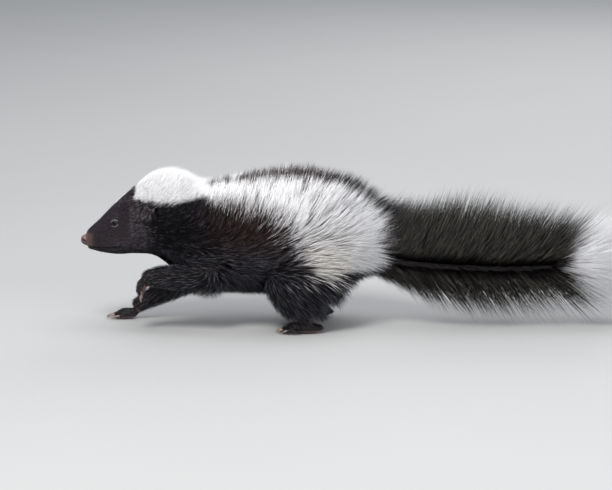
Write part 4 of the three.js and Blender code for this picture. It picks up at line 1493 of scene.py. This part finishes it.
@dataclass(frozen=True)
class Locks:
    """How tufts gather in locks and ruffle the borders of the markings.

    Tufts gather more the longer they are, and less on the belly. Lean and reach have a part that is
    alike in a lock and a part that is each tuft's own. Borders are ruffled in degrees.
    """

    lock: int = 24
    pull: float = 0.6
    lengths: tuple[float, float] = (0.009, 0.020)
    on_belly: float = 0.35
    on_velvet: float = 0.25
    own_lean: float = 0.055
    root_lean: float = 0.07
    tip_lean: float = 0.15
    own_reach: tuple[float, float] = (0.8, 1.08)
    lock_reach: float = 0.07
    border: float = 2.4
    flank_border: float = 6.0
    lock_border: float = 2.5
    streaks: float = 0.55
    streaked_above: float = 0.66


@dataclass(frozen=True)
class Shades:
    """Where and how far the coat's colours change within a marking.

    Pairs of stations, heights in degrees or heights in metres say where a change starts and ends.
    """

    flank_from: tuple[float, float] = (5.2, 7.6)
    flank_to: tuple[float, float] = (10.8, 9.4)
    flank_high: tuple[float, float] = (-38, 0)
    flank_brown: float = 0.75
    cheek: tuple[float, float] = (4.4, 3.4)
    cheek_brown: float = 0.5
    # Where the face takes the plum tone, which is partly painted sheen.
    face_x: tuple[float, float] = (-0.114, -0.138)
    face_z: tuple[float, float] = (0.0580, 0.0660)
    forehead_z: tuple[float, float] = (0.087, 0.097)
    forehead_share: float = 0.7
    face_plum: float = 0.9
    unevenness: float = 0.3
    belly_z: tuple[float, float] = (0.074, 0.050)
    by_ear: tuple[float, float] = (2.6, 3.4)
    by_ear_z: tuple[float, float] = (0.060, 0.068)
    # Shares of dark tufts whose tips get painted highlights, and how strong these are.
    glints: float = 0.05
    cheek_glints: float = 0.15
    ear_glints: float = 0.25
    belly_glints: float = 0.38
    tail_glints: float = 0.34
    tail_glint_power: float = 0.6
    glint: float = 0.8
    cream_from: tuple[float, float] = (-0.012, 0.006)
    cream_to: tuple[float, float] = (0.036, 0.016)
    cream_z: tuple[float, float] = (0.078, 0.05)
    creaminess: float = 0.5
    white_uneven: tuple[float, float] = (0.8, 1.06)
    dark_root: tuple[float, float] = (0.45, 1.0)
    dark_root_lengths: tuple[float, float] = (0.008, 0.024)
    root_shade: float = 0.8
    cup_tip: Colour = (0.20, 0.165, 0.165)
    cup_uneven: tuple[float, float] = (0.3, 1.4)
    ear_root: float = 1.2
    ear_tip: float = 2.0
    parting_shine: float = 2.2

    def mottling(self, x: Array, z: Array) -> Array:
        """An uneven factor about 0.78 that mottles the face."""
        across = np.sin(900 * x + 2 * np.sin(700 * z))
        return 0.78 + 0.3 * across * np.sin(1000 * z + 2 * np.sin(600 * x))


@dataclass(frozen=True)
class Thickness:
    """A tuft's width at the root: a least width plus a share of the length, within limits."""

    base: float
    share: float
    least: float
    most: float

    def of(self, length: Array) -> Array:
        """The widths of tufts with these lengths."""
        return np.clip(self.base + length * self.share, self.least, self.most)


@dataclass
class Coat:
    """The whole coat, grown from the skin in a few pieces."""

    animal: Animal
    markings: Markings
    skin: Skin
    growth: Growth = Growth()
    plume: Plume = Plume()
    locks: Locks = Locks()
    shades: Shades = Shades()
    long_count: int = 62000
    short_count: int = 38000
    leg_count: int = 17000
    tail_count: int = 30000
    long_width: Thickness = Thickness(0.00026, 0.010, 0.00034, 0.00052)
    short_width: Thickness = Thickness(0.00020, 0.06, 0.00028, 0.00040)
    leg_width: Thickness = Thickness(0.00026, 0.014, 0.0003, 0.0005)
    tail_width: Thickness = Thickness(0.00026, 0.005, 0.00032, 0.0005)
    most_in_a_piece: int = 19500
    rump_x: float = 0.05
    tail_x: float = 0.055
    ear_front: float = 0.0045
    ear_margin: float = 1.04
    ear_claim: float = 0.9
    cup_hair: float = 0.0044
    ear_hair: float = 0.0022
    floor_gap: float = 0.0006
    seed: int = 7

    def zones(self, points: Array) -> tuple[Array, Array]:
        """Which zone each point belongs to, and the joint number on its limb.

        Args:
            points: rows of coordinates in the animal's frame.

        Returns:
            The zone and the joint number of each point.
        """
        _, _, trunk_share = self.animal.trunk.bearings(points)
        trunk_share = np.where(points[:, 0] > self.rump_x, 9.0, trunk_share)
        shares, places = [trunk_share], [np.zeros(len(points))]
        for limb in self.animal.limbs.values():
            share, place = limb.nearness(points)
            shares.append(share)
            places.append(place)
        for side in Side:
            local = seen_from(self.skin.ear_pose(side), points)
            size = np.array([self.ear_front, *self.skin.ear_size[1:]]) * self.ear_margin
            shares.append(np.linalg.norm(local / size, axis=1) * self.ear_claim)
            places.append(local[:, 2] / self.skin.ear_size[2])
        shares_all = np.stack(shares)
        best = shares_all.argmin(axis=0)
        return best, np.stack(places)[best, np.arange(len(points))]

    def _clumps(self, points: Array, rng: np.random.Generator, size: int) -> tuple[Array, Array]:
        """Gather points in small uneven clumps round some of them.

        Args:
            points: rows of coordinates.
            rng: the source of random numbers.
            size: about how many points a clump has.

        Returns:
            Three random numbers from -1 to 1 for each point, alike in a clump, and its middle.
        """
        seeds = rng.choice(len(points), max(1, len(points) // size), replace=False)
        tree = KDTree(len(seeds))
        for number, spot in enumerate(points[seeds].tolist()):
            tree.insert(spot, number)
        tree.balance()
        index = np.array([tree.find(spot)[1] for spot in points.tolist()])
        return rng.uniform(-1, 1, (len(seeds), 3))[index], points[seeds][index]

    def _tufts(
        self, roots: Roots, lie: tuple[Array, Array], length: Array, width: Array, seed: int, lock: int
    ) -> Tufts:
        """Turn places, directions and measures into tufts that gather towards their lock's middle.

        Args:
            roots: where they grow.
            lie: the directions at the root and at the tip.
            length: in metres.
            width: at the root, in metres.
            seed: starts the random numbers.
            lock: about how many tufts gather in one lock.

        Returns:
            The tufts, with their colours.
        """
        locks, marks = self.locks, self.markings
        rng = np.random.default_rng(seed)
        count = len(roots.point)
        shared, middle = self._clumps(roots.point, rng, lock)
        t, height, _ = self.animal.trunk.bearings(roots.point)
        on_back = ramp(-10, 25, height)
        locked = ramp(*locks.lengths, length) * (locks.on_belly + (1 - locks.on_belly) * on_back)
        shared = shared * (locks.on_velvet + (1 - locks.on_velvet) * locked)[:, None]
        gather = (middle - roots.point) * (locks.pull * locked / length)[:, None]
        own = rng.normal(0, locks.own_lean, (count, 3))
        first = unit(unit(lie[0]) + locks.root_lean * shared + own)
        last = unit(unit(lie[1]) + locks.tip_lean * shared + own + 2 * gather)
        reach = length * rng.uniform(*locks.own_reach, count) * (1 + locks.lock_reach * shared[:, 0])
        on_flank = locks.flank_border * ramp(6.0, 7.0, t) * ramp(10.0, 8.8, t) * ramp(70, 50, height)
        blur = rng.normal(0, 1, count) * (locks.border + on_flank) + locks.lock_border * shared[:, 1]
        white = marks.whiteness(self.animal, roots.point, blur) > 0.5
        streaked = locks.streaks * ramp(6.6, 8.6, t) * ramp(20, 50, height)
        streaked *= roots.point[:, 0] < marks.body_ends
        white &= ~((shared[:, 2] > locks.streaked_above) & (rng.random(count) < streaked))
        dark, dark_tip = self._dark(roots.point, rng)
        pale_root, pale = self._pale(roots.point, length, rng)
        base = np.where(white[:, None], pale_root, dark * self.shades.root_shade)
        tip = np.where(white[:, None], pale, dark_tip)
        return Tufts(roots.point, first, last, roots.normal, reach, width, base, tip, roots.uv)

    def _dark(self, points: Array, rng: np.random.Generator) -> tuple[Array, Array]:
        """The colours of dark tufts by their place, at the middle and at the tip.

        Args:
            points: where the tufts grow.
            rng: the source of random numbers.

        Returns:
            A colour and a tip colour for each tuft; some tips catch the light.
        """
        marks, part = self.markings, self.shades
        black, brown, plum = np.array(marks.black), np.array(marks.brown), np.array(marks.plum)
        count, x, z = len(points), points[:, 0], points[:, 2]
        t, height, _ = self.animal.trunk.bearings(points)
        tail = x > self.tail_x
        flank = ramp(*part.flank_from, t) * ramp(*part.flank_to, t) * ramp(*part.flank_high, height)
        flank = flank * ~tail
        face = ramp(*part.face_x, x) * ramp(*part.face_z, z)
        face = face * (1 - part.forehead_share * ramp(*part.forehead_z, z)) * part.mottling(x, z)
        cheek = ramp(*part.cheek, t) * ~tail
        brownness = part.flank_brown * flank + part.cheek_brown * cheek
        dark = blend(black, brown, np.clip(brownness, 0, 1))
        # Partly the face's own purplish tone, partly painted sheen that lightens it.
        dark = blend(dark, plum, part.face_plum * face)
        dark = blend(dark, np.array(marks.muzzle), marks.pinkness(points))
        dark = dark * np.exp(rng.normal(0.0, part.unevenness, (count, 1)))
        # Painted highlights: some dark tips are lightened towards a glint colour, most often on the belly,
        # legs, cheeks and tail.
        low = ramp(*part.belly_z, z) * ~tail
        by_ear = cheek * ramp(*part.by_ear, t) * ramp(*part.by_ear_z, z)
        shiny = part.glints + part.cheek_glints * cheek + part.ear_glints * by_ear
        shiny = np.where(tail, part.tail_glints, shiny + part.belly_glints * low)
        power = np.where(tail, part.tail_glint_power, 1.0)
        glint = (rng.random(count) < shiny) * rng.random(count) ** power
        sheen = np.where(tail[:, None], np.array(marks.olive_glint), np.array(marks.grey))
        return dark, blend(dark, sheen, part.glint * glint)

    def _pale(self, points: Array, length: Array, rng: np.random.Generator) -> tuple[Array, Array]:
        """The colours of white tufts by their place and length.

        Args:
            points: where the tufts grow.
            length: in metres; long tufts have dark roots.
            rng: the source of random numbers.

        Returns:
            A root colour and a tip colour for each tuft.
        """
        marks, part = self.markings, self.shades
        count, x = len(points), points[:, 0]
        creamy = ramp(*part.cream_from, x) * ramp(*part.cream_to, x) * ramp(*part.cream_z, points[:, 2])
        creamy = np.clip(creamy * part.creaminess, 0, 1)
        pale = blend(np.array(marks.white), np.array(marks.cream), creamy)
        pale = pale * rng.uniform(*part.white_uneven, (count, 1))
        deep = ramp(*part.dark_root_lengths, length) * rng.uniform(*part.dark_root, count)
        return blend(pale, np.array(marks.dark_root), deep), pale

    def _pieces(self, tufts: Tufts, name: str, taper: float) -> Iterator[bpy.types.Object]:
        """Make tufts in pieces that stay below the largest size, from front to rear."""
        order = np.argsort(tufts.root[:, 0])
        parts = math.ceil(len(order) / self.most_in_a_piece)
        for number, chosen in enumerate(np.array_split(order, parts)):
            piece = tufts.part(chosen)
            yield piece.build(f"{name}_{number + 1}", (0.0, 0.5), (1.0, taper))

    def _bare(self, points: Array, normals: Array) -> Array:
        """Which points carry no hair."""
        _, bare = self.skin.colours(points, normals)
        rng = np.random.default_rng(self.seed + 9)
        hidden = bare > rng.uniform(0.15, 0.75, len(points))
        for eye in self.skin.eyes:
            away = points - np.array(eye.centre)
            u = (away @ np.array(eye.axes[0]) + 0.0003) / (eye.open_long + eye.lid * 2.6)
            v = (away @ np.array(eye.axes[1])) / (eye.open_high + eye.lid * 1.5)
            hidden |= (np.hypot(u, v) < 1.0) & (away @ np.array(eye.gaze) > -0.002)
        return hidden | (points[:, 2] < self.floor_gap)

    def _roots(
        self, skin: bpy.types.Object, count: int, density: Callable[[Array, Array], Array], seed: int
    ) -> Roots:
        """Places of tufts on the skin, without the bare ones.

        Args:
            skin: the unwrapped skin.
            count: how many places are tried.
            density: how densely tufts grow at points with these normals.
            seed: what is added to the coat's seed.

        Returns:
            The places that carry hair.
        """
        roots = scatter(skin, count, density, self.seed + seed)
        return roots.part(~self._bare(roots.point, roots.normal))

    def _trunk_lie(self, roots: Roots) -> tuple[Array, Array, Array]:
        """The start and end directions and the lengths of the trunk's coat."""
        t, height, _ = self.animal.trunk.bearings(roots.point)
        slope = np.radians(self.growth.read("slope", t, height))
        stand = self.growth.read("stand", t, height)[:, None]
        lie = np.stack([np.cos(slope), np.zeros(len(t)), np.sin(slope)], axis=1)
        start = unit(lie + roots.normal * stand * 1.25)
        end = unit(lie + roots.normal * stand * 0.75 + np.array([0.14, 0, -0.04]))
        return start, end, self.growth.read("length", t, height) * MILLIMETRE

    def _leg_lie(self, roots: Roots, best: Array, place: Array) -> tuple[Array, Array, Array, Array]:
        """The start and end directions, lengths and weight of the legs' coat.

        Args:
            roots: the places of the tufts.
            best: the zone of each place.
            place: the joint number of each place on its limb.

        Returns:
            Start, end and length for each place, and how far the leg's coat rules there, 0 to 1.
        """
        count, growth = len(best), self.growth
        flow, length = np.zeros((count, 3)), np.full(count, 0.004)
        weight, stand = np.zeros(count), np.full(count, growth.leg_stand)
        for zone, limb in self.animal.limbs.items():
            here = best == zone.value
            if zone == Zone.TAIL or not here.any():
                continue
            at = place[here]
            hind = zone in (Zone.HIND_LEFT, Zone.HIND_RIGHT)
            full = through(growth.hind_length if hind else growth.fore_length, at) * MILLIMETRE
            behind = ramp(-0.4, 0.7, roots.normal[here, 0])
            least, more = growth.hind_fullness if hind else growth.fore_fullness
            full = full * (least + more * behind)
            low = at > growth.foot_from
            feet = ramp(0.013, 0.007, roots.point[here, 2])
            short = np.where(low, np.minimum(full, growth.foot_length), full)
            length[here] = short * (1 - 0.3 * feet * low)
            sweep = np.array([growth.hind_sweep if hind else growth.fore_sweep, 0.0, 0.0])
            flow[here] = unit(limb.ahead(at) + sweep * ramp(4.8, 2.5, at)[:, None])
            stand[here] = np.where(low, growth.foot_stand, growth.leg_stand)
            top = ramp(0.052, 0.036, roots.point[here, 2]) if hind else ramp(0.3, 1.6, at)
            weight[here] = np.maximum(top, 1.0 * low)
        along = unit(flow - roots.normal * (flow * roots.normal).sum(axis=1, keepdims=True))
        start = unit(along + roots.normal * stand[:, None] * 1.2)
        end = unit(along + roots.normal * stand[:, None] * 0.8)
        return start, end, length, weight

    def body(self, skin: bpy.types.Object) -> Iterator[bpy.types.Object]:
        """Grow the long coat of the body and the plush cap.

        Args:
            skin: the unwrapped skin.

        Returns:
            The pieces, from front to rear.
        """

        def density(points: Array, normals: Array) -> Array:
            """Where the long coat grows; the cap is the densest."""
            best, _ = self.zones(points)
            t, height, _ = self.animal.trunk.bearings(points)
            length = self.growth.read("length", t, height)
            cap = ramp(13.0, 9.0, length) * ramp(10, 30, height)
            long = length > self.growth.velvet_below
            return (best == Zone.TRUNK.value) * long * (1.0 + 1.3 * cap)

        roots = self._roots(skin, self.long_count, density, 0)
        start, end, length = self._trunk_lie(roots)
        width = self.long_width.of(length)
        tufts = self._tufts(roots, (start, end), length, width, self.seed + 10, self.locks.lock)
        yield from self._pieces(tufts, "coat_body", 0.74)

    def head(self, skin: bpy.types.Object) -> Iterator[bpy.types.Object]:
        """Grow the short velvet of the head and the ears.

        Args:
            skin: the unwrapped skin.

        Returns:
            The pieces, from front to rear.
        """

        def density(points: Array, normals: Array) -> Array:
            """Where the short coat grows; the face and the ears are denser."""
            best, _ = self.zones(points)
            ear = (best == Zone.EAR_LEFT.value) | (best == Zone.EAR_RIGHT.value)
            t, height, _ = self.animal.trunk.bearings(points)
            short = self.growth.read("length", t, height) <= self.growth.velvet_below
            short &= best == Zone.TRUNK.value
            return short * np.where(points[:, 0] < -0.135, 1.6, 1.0) + ear * 1.3

        roots = self._roots(skin, self.short_count, density, 1)
        best, _ = self.zones(roots.point)
        ear = (best == Zone.EAR_LEFT.value) | (best == Zone.EAR_RIGHT.value)
        start, end, length = self._trunk_lie(roots)
        flow = np.tile(np.array([0.45, 0.0, 0.9]), (len(best), 1))
        flow = unit(flow - roots.normal * (flow * roots.normal).sum(axis=1, keepdims=True))
        start = np.where(ear[:, None], flow + 0.5 * roots.normal, start)
        end = np.where(ear[:, None], flow + 0.3 * roots.normal, end)
        cup = ear & self._in_cup(roots.point)
        length = np.where(ear, np.where(cup, self.cup_hair, self.ear_hair), length)
        width = self.short_width.of(length)
        tufts = self._tufts(roots, (start, end), length, width, self.seed + 20, self.locks.lock)
        self._pale_ear(tufts, ear, cup)
        yield from self._pieces(tufts, "coat_head", 0.74)

    def _in_cup(self, points: Array) -> Array:
        """Which points lie in the hollow of either ear."""
        inside = np.zeros(len(points), bool)
        for side in Side:
            local = seen_from(self.skin.ear_pose(side), points)
            _, wide, tall = self.skin.ear_size
            y, z = local[:, 1] / wide, local[:, 2] / tall
            front = local[:, 0] < self.skin.ear_hollow * (1 - y**2 - z**2)
            inside |= front & (np.hypot(y, z) < 0.8)
        return inside

    def _pale_ear(self, tufts: Tufts, ear: Array, cup: Array) -> None:
        """Give the hair inside the cups of the ears its pale tips."""
        rng, part = np.random.default_rng(self.seed + 3), self.shades
        forward = cup & (rng.random(len(ear)) < 0.5)
        pale = np.array(part.cup_tip) * rng.uniform(*part.cup_uneven, (len(ear), 1))
        dark = np.array(self.markings.black) * part.ear_root
        plain = ear & ~forward
        tufts.tip_colour = np.where(plain[:, None], dark * part.ear_tip, tufts.tip_colour)
        tufts.tip_colour = np.where(forward[:, None], pale, tufts.tip_colour)
        tufts.root_colour = np.where(ear[:, None], dark, tufts.root_colour)

    def legs(self, skin: bpy.types.Object) -> Iterator[bpy.types.Object]:
        """Grow the coat of the legs, long behind the thighs and short on the feet.

        Args:
            skin: the unwrapped skin.

        Returns:
            The pieces, from front to rear.
        """
        legs = [zone.value for zone in self.animal.limbs if zone != Zone.TAIL]

        def density(points: Array, normals: Array) -> Array:
            """Where the legs' coat grows."""
            best, _ = self.zones(points)
            return np.isin(best, legs) * 1.0

        roots = self._roots(skin, self.leg_count, density, 2)
        best, place = self.zones(roots.point)
        start, end, length, weight = self._leg_lie(roots, best, place)
        body_start, body_end, body_length = self._trunk_lie(roots)
        lie = blend(body_start, start, weight), blend(body_end, end, weight)
        length = body_length + (length - body_length) * weight
        width = self.leg_width.of(length)
        tufts = self._tufts(roots, lie, length, width, self.seed + 30, self.locks.lock)
        yield from self._pieces(tufts, "coat_legs", 0.78)

    def _fans(self, away: Array, at_end: Array, parted: Array) -> tuple[Array, Array]:
        """How the tail's hairs are turned about its middle line.

        Args:
            away: the directions out of the middle line.
            at_end: how far each one belongs to the end cap, 0 to 1.
            parted: which ones lie in the parting between the fans.

        Returns:
            The angle of each hair above the level, in degrees, and its direction.
        """
        plume = self.plume
        rise = np.degrees(np.arcsin(np.clip(away[:, 2], -1, 1)))
        fan = np.sign(rise) * (plume.fan_from + (90 - plume.fan_from) * np.abs(rise) / 90)
        fan = np.where(parted, rise, rise * at_end + fan * (1 - at_end))
        side = np.where(away[:, 1] < 0, -1.0, 1.0)
        level, upright = side * np.cos(np.radians(fan)), np.sin(np.radians(fan))
        return fan, np.stack([0 * fan, level, upright], axis=1)

    def tail(self, skin: bpy.types.Object) -> Iterator[bpy.types.Object]:
        """Grow the long plume of the tail and its white tip.

        Args:
            skin: the unwrapped skin.

        Returns:
            The pieces, from front to rear.
        """

        def density(points: Array, normals: Array) -> Array:
            """Where the tail's hair grows, thinner below and denser at the end."""
            best, _ = self.zones(points)
            below = ramp(0.1, -0.4, normals[:, 2])
            thinned = 1.0 - 0.72 * below + 1.5 * ramp(0.18, 0.195, points[:, 0])
            return (best == Zone.TAIL.value) * thinned

        roots = scatter(skin, self.tail_count, density, self.seed + 4)
        x, line, plume = roots.point[:, 0], self.animal.tail, self.plume
        share = np.interp(x, [joint.x for joint in line.joints], np.arange(len(line.joints)))
        away = unit((roots.point - line.line(share)) * np.array([0.0, 1.0, 1.0]))
        at_end = ramp(*plume.end_cap, x)
        level = np.abs(np.degrees(np.arcsin(np.clip(away[:, 2], -1, 1)))) < plume.parting
        parted = level & (at_end < 0.5)
        fan, out = self._fans(away, at_end, parted)
        tall = np.where(fan > 0, plume.read("up", x), plume.read("down", x))
        reach = 1 / np.hypot(out[:, 1] / plume.read("side", x), out[:, 2] / tall)
        lean = np.where(fan > 0, plume.read("lean_up", x), plume.read("lean_down", x))
        rng, (more, spread) = np.random.default_rng(self.seed + 5), plume.parting_lean
        lean = lean + rng.normal(0, plume.uneven_lean, len(x))
        lean = lean + (more + rng.normal(0, spread, len(x))) * parted
        endmost = at_end * ramp(0.2, 0.9, roots.normal[:, 0])
        lean = lean + (plume.end_lean - lean) * endmost
        length = (reach - line.size("r", share)) / np.cos(np.radians(np.minimum(lean + 4, 58)))
        length *= 0.74 + 0.26 * rng.random(len(x)) ** 0.5
        length = np.where(parted, plume.parting_length * rng.uniform(0.5, 1.5, len(x)), length)
        room = (plume.end_x - x) / np.sin(np.radians(np.maximum(lean, 35)))
        length = np.maximum(np.where(x > 0.17, np.minimum(length, room), length), plume.shortest)
        turn, rearward = np.radians(lean)[:, None], np.array([1.0, 0, 0])
        start = out * np.cos(turn) + rearward * np.sin(turn)
        end = out * np.cos(turn + plume.bend) + rearward * np.sin(turn + plume.bend)
        roots = Roots(roots.point, away, roots.uv)
        width = self.tail_width.of(length)
        tufts = self._tufts(roots, (start, end), length, width, self.seed + 40, plume.lock)
        shine = np.array(self.markings.parting) * self.shades.parting_shine
        shine = shine * rng.random((len(x), 1)) ** 2
        shines = parted & (x < plume.parting_shines_to)
        tufts.tip_colour = np.where(shines[:, None], shine, tufts.tip_colour)
        yield from self._pieces(tufts, "coat_tail", 0.7)

    def build(self, skin: bpy.types.Object, material: bpy.types.Material) -> list[bpy.types.Object]:
        """Grow every part of the coat on the skin."""
        made = []
        for grow in (self.body, self.head, self.legs, self.tail):
            for piece in grow(skin):
                made.append(dress(piece, material))
        return made


# Nose, claws and whiskers


@dataclass(frozen=True)
class NosePad:
    """The bare nose pad with two comma-shaped nostrils and the groove between them, painted lighter on top
    and with painted shade below, in the nostrils and in the groove.
    """

    x: float = -0.1595
    z: float = 0.0657
    size: tuple[float, float, float] = (0.0049, 0.0041, 0.0042)
    nostril: tuple[tuple[float, float, float, float], ...] = (
        (-0.1634, 0.0019, 0.0659, 0.0011),
        (-0.1625, 0.0030, 0.0656, 0.0010),
        (-0.1611, 0.0038, 0.0648, 0.0008),
    )
    depth: float = 0.0019
    nostril_painted_shade: float = 0.93
    groove: float = 0.0004
    groove_wide: float = 0.0003
    groove_top: float = 0.0012
    groove_dark: float = 0.4
    underside_painted_shade: float = 0.4

    def build(self, material: bpy.types.Material, markings: Markings) -> bpy.types.Object:
        """Make the pad.

        Args:
            material: what it is dressed in.
            markings: the shared colours.

        Returns:
            The piece.
        """
        shell = Shell()
        centre = Vector((self.x, 0, self.z))
        shell.ball(centre, Vector(self.size), rows=44)
        shades = []
        for vertex in shell.mesh.verts:
            away = vertex.co - centre
            hole = 0.0
            for x, y, z, spread in self.nostril:
                gap = Vector((x, y, z)) - Vector((vertex.co.x, abs(vertex.co.y), vertex.co.z))
                hole += math.exp(-((gap.length / spread) ** 2))
            hole = min(1.0, hole)
            slit = math.exp(-((away.y / self.groove_wide) ** 2)) * (away.z < self.groove_top) * (away.x < 0)
            vertex.co -= away.normalized() * (self.depth * hole + self.groove * slit)
            # Painted highlight and shade: the pad is lighter on top and darker below, in the nostrils and
            # in the groove.
            light = self.underside_painted_shade + (1 - self.underside_painted_shade) * float(ramp(-0.003, 0.001, away.z))
            shades.append(light * (1 - self.nostril_painted_shade * hole - self.groove_dark * slit * (1 - hole)))
        piece = shell.put("nose_pad")
        paint(piece.data, np.array(markings.nose) * np.array(shades)[:, None])
        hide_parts("nose")
        return dress(piece, material)


@dataclass(frozen=True)
class Claws:
    """The curved claws of all four paws."""

    animal: Animal
    root_radius: float = 0.00085
    tip_radius: float = 0.00022
    arch: float = 0.0008
    sunk: float = 0.002
    lifted: float = 0.0004
    off_the_floor: float = 0.0002

    def build(self, material: bpy.types.Material) -> bpy.types.Object:
        """Make all claws as one piece.

        Args:
            material: what it is dressed in.

        Returns:
            The piece.
        """
        shell = Shell()
        for paw in self.animal.paws:
            for number in range(paw.toes):
                _, end, tip = paw.toe_line(number)
                start = end + (end - tip).normalized() * self.sunk + Vector((0, 0, self.lifted))
                crest = (start + tip) / 2 + Vector((0, 0, self.arch))
                stops = [(start, self.root_radius), (crest, self.root_radius * 0.8), (tip, self.tip_radius)]
                shell.rod(stops, paw.pose, sides=8)
        for vertex in shell.mesh.verts:
            vertex.co.z = max(vertex.co.z, self.off_the_floor)
        return dress(shell.put("claws"), material)


@dataclass(frozen=True)
class Whiskers:
    """Fine stiff hairs on the muzzle, over the eyes and on the cheeks."""

    trunk: Trunk
    rows: int = 4
    columns: int = 4
    over_eye: tuple[tuple[float, float, float, float], ...] = (
        (-0.1365, 0.0115, 0.0892, 0.012),
        (-0.1345, 0.0118, 0.0902, 0.010),
    )
    tone: Colour = (0.05, 0.045, 0.045)
    pale_tip: float = 1.6
    width: float = 0.00022
    sunk: float = 0.0012
    seed: int = 3

    def build(self, material: bpy.types.Material) -> bpy.types.Object:
        """Make all whiskers as one piece.

        Args:
            material: what it is dressed in.

        Returns:
            The piece.
        """
        rng = np.random.default_rng(self.seed)
        roots, aims, lengths = [], [], []
        for side in Side:
            for row in range(self.rows):
                for column in range(self.columns):
                    t = 0.75 + 0.24 * column + rng.uniform(-0.05, 0.05)
                    angle = math.radians(-22 + 13 * row + rng.uniform(-3, 3))
                    spot = self.trunk.point(t, angle)
                    roots.append((spot.x, side.value * abs(spot.y), spot.z))
                    aims.append((0.55 + 0.25 * column, side.value * 1.0, -0.25 + 0.16 * row))
                    lengths.append(rng.uniform(0.009, 0.015) + 0.0016 * column)
            for x, y, z, length in self.over_eye:
                roots.append((x, side.value * y, z))
                aims.append((0.7, side.value * 0.5, 0.8))
                lengths.append(length)
        count = len(roots)
        aim = unit(np.array(aims) + rng.normal(0, 0.06, (count, 3)))
        droop = unit(aim + np.array([0.25, 0.0, -0.35]))
        tone = np.tile(np.array(self.tone), (count, 1))
        face = np.tile(np.array([0.0, 0.1, 1.0]), (count, 1))
        uv = np.column_stack([np.linspace(0.01, 0.99, count), np.full(count, 0.995)])
        width, length, tip = np.full(count, self.width), np.array(lengths), tone * self.pale_tip
        tufts = Tufts(np.array(roots), aim, droop, face, length, width, tone, tip, uv, self.sunk)
        piece = tufts.build("whiskers", (0.0, 0.35, 0.7), (1.0, 0.8, 0.5))
        return dress(piece, material)


# Floor, lights and camera


@dataclass(frozen=True)
class Light:
    """One soft square light that looks at the animal."""

    name: str
    place: tuple[float, float, float]
    size: float
    power: float
    colour: Colour

    def build(self, target: Vector) -> None:
        """Make the light."""
        data = bpy.data.lights.new(self.name, "AREA")
        data.size = self.size
        data.energy = self.power
        data.color = self.colour
        light, place = shown(self.name, data), Vector(self.place)
        light.location = place
        light.rotation_euler = (target - place).to_track_quat("-Z", "Y").to_euler()


@dataclass(frozen=True)
class Studio:
    """A pale floor, soft lights and the camera of the photograph."""

    photo_width: int = 612
    metres_per_pixel: float = 0.00075
    elevation: float = 12.0
    middle_x: float = 0.0045
    middle_z: float = 0.0614
    lens: float = 200.0
    floor_size: float = 9.0
    lights: tuple[Light, ...] = (
        Light("key", (-0.5, -1.1, 1.5), 0.6, 29.0, (1.0, 0.985, 0.96)),
        Light("overhead", (0.2, 0.15, 1.7), 1.4, 15.0, (0.97, 0.985, 1.0)),
        Light("fill", (1.1, -1.4, 0.6), 0.9, 13.0, (0.95, 0.97, 1.0)),
        Light("rim", (0.5, 1.4, 0.9), 0.9, 7.0, (1.0, 1.0, 1.0)),
    )
    sky: tuple[float, float, float, float] = (0.85, 0.9, 1.0, 1.0)
    sky_strength: float = 0.42
    sees_to: float = 50.0

    def build(self) -> None:
        """Make the stage."""
        self._floor()
        target = Vector((self.middle_x + AHEAD, 0.0, self.middle_z))
        self._camera(target)
        for light in self.lights:
            light.build(target)
        bpy.context.scene.view_settings.view_transform = "Standard"
        world = bpy.data.worlds.new("soft room")
        world.use_nodes = True
        sky = world.node_tree.nodes["Background"].inputs
        sky["Color"].default_value = self.sky
        sky["Strength"].default_value = self.sky_strength
        bpy.context.scene.world = world

    def _floor(self) -> None:
        """Make the floor."""
        work = bmesh.new()
        bmesh.ops.create_grid(work, x_segments=1, y_segments=1, size=self.floor_size / 2)
        data = bpy.data.meshes.new("floor")
        work.to_mesh(data)
        work.free()
        data.materials.append(FloorFinish().make())
        shown("floor", data)

    def _camera(self, target: Vector) -> None:
        """Make the camera, level with the photograph's view of the animal.

        Args:
            target: what it looks at.
        """
        data = bpy.data.cameras.new("camera")
        data.lens = self.lens
        wide = self.photo_width * self.metres_per_pixel
        distance = wide / 2 / math.tan(math.atan(data.sensor_width / 2 / self.lens))
        up = math.radians(self.elevation)
        back = Vector((0.0, -math.cos(up), math.sin(up)))
        camera = shown("camera", data)
        camera.location = target + back * distance
        camera.rotation_euler = (-back).to_track_quat("-Z", "Y").to_euler()
        data.clip_end = self.sees_to
        bpy.context.scene.camera = camera


def main() -> None:
    """Build every piece in order and report it."""
    logging.basicConfig(level=logging.INFO, format="%(name)s %(message)s")
    Studio().build()
    animal, markings = Animal(), Markings()
    eyes = tuple(Eye(side) for side in Side)
    hair, hide = CoatFinish().make(), SkinFinish().make()
    wet, horn = EyeFinish().make(), ClawFinish().make()
    for eye in eyes:
        ball = eye.build_ball(wet)
        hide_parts(f"eye_{eye.side.name.lower()}")
        eye.build_lids(hide, markings)
    skin_plan = Skin(animal, markings, eyes)
    skin = skin_plan.build(hide)
    NosePad().build(hide, markings)
    Claws(animal).build(horn)
    Whiskers(animal.trunk).build(hair)
    Coat(animal, markings, skin_plan).build(skin, hair)


if __name__ == "__main__":
    main()
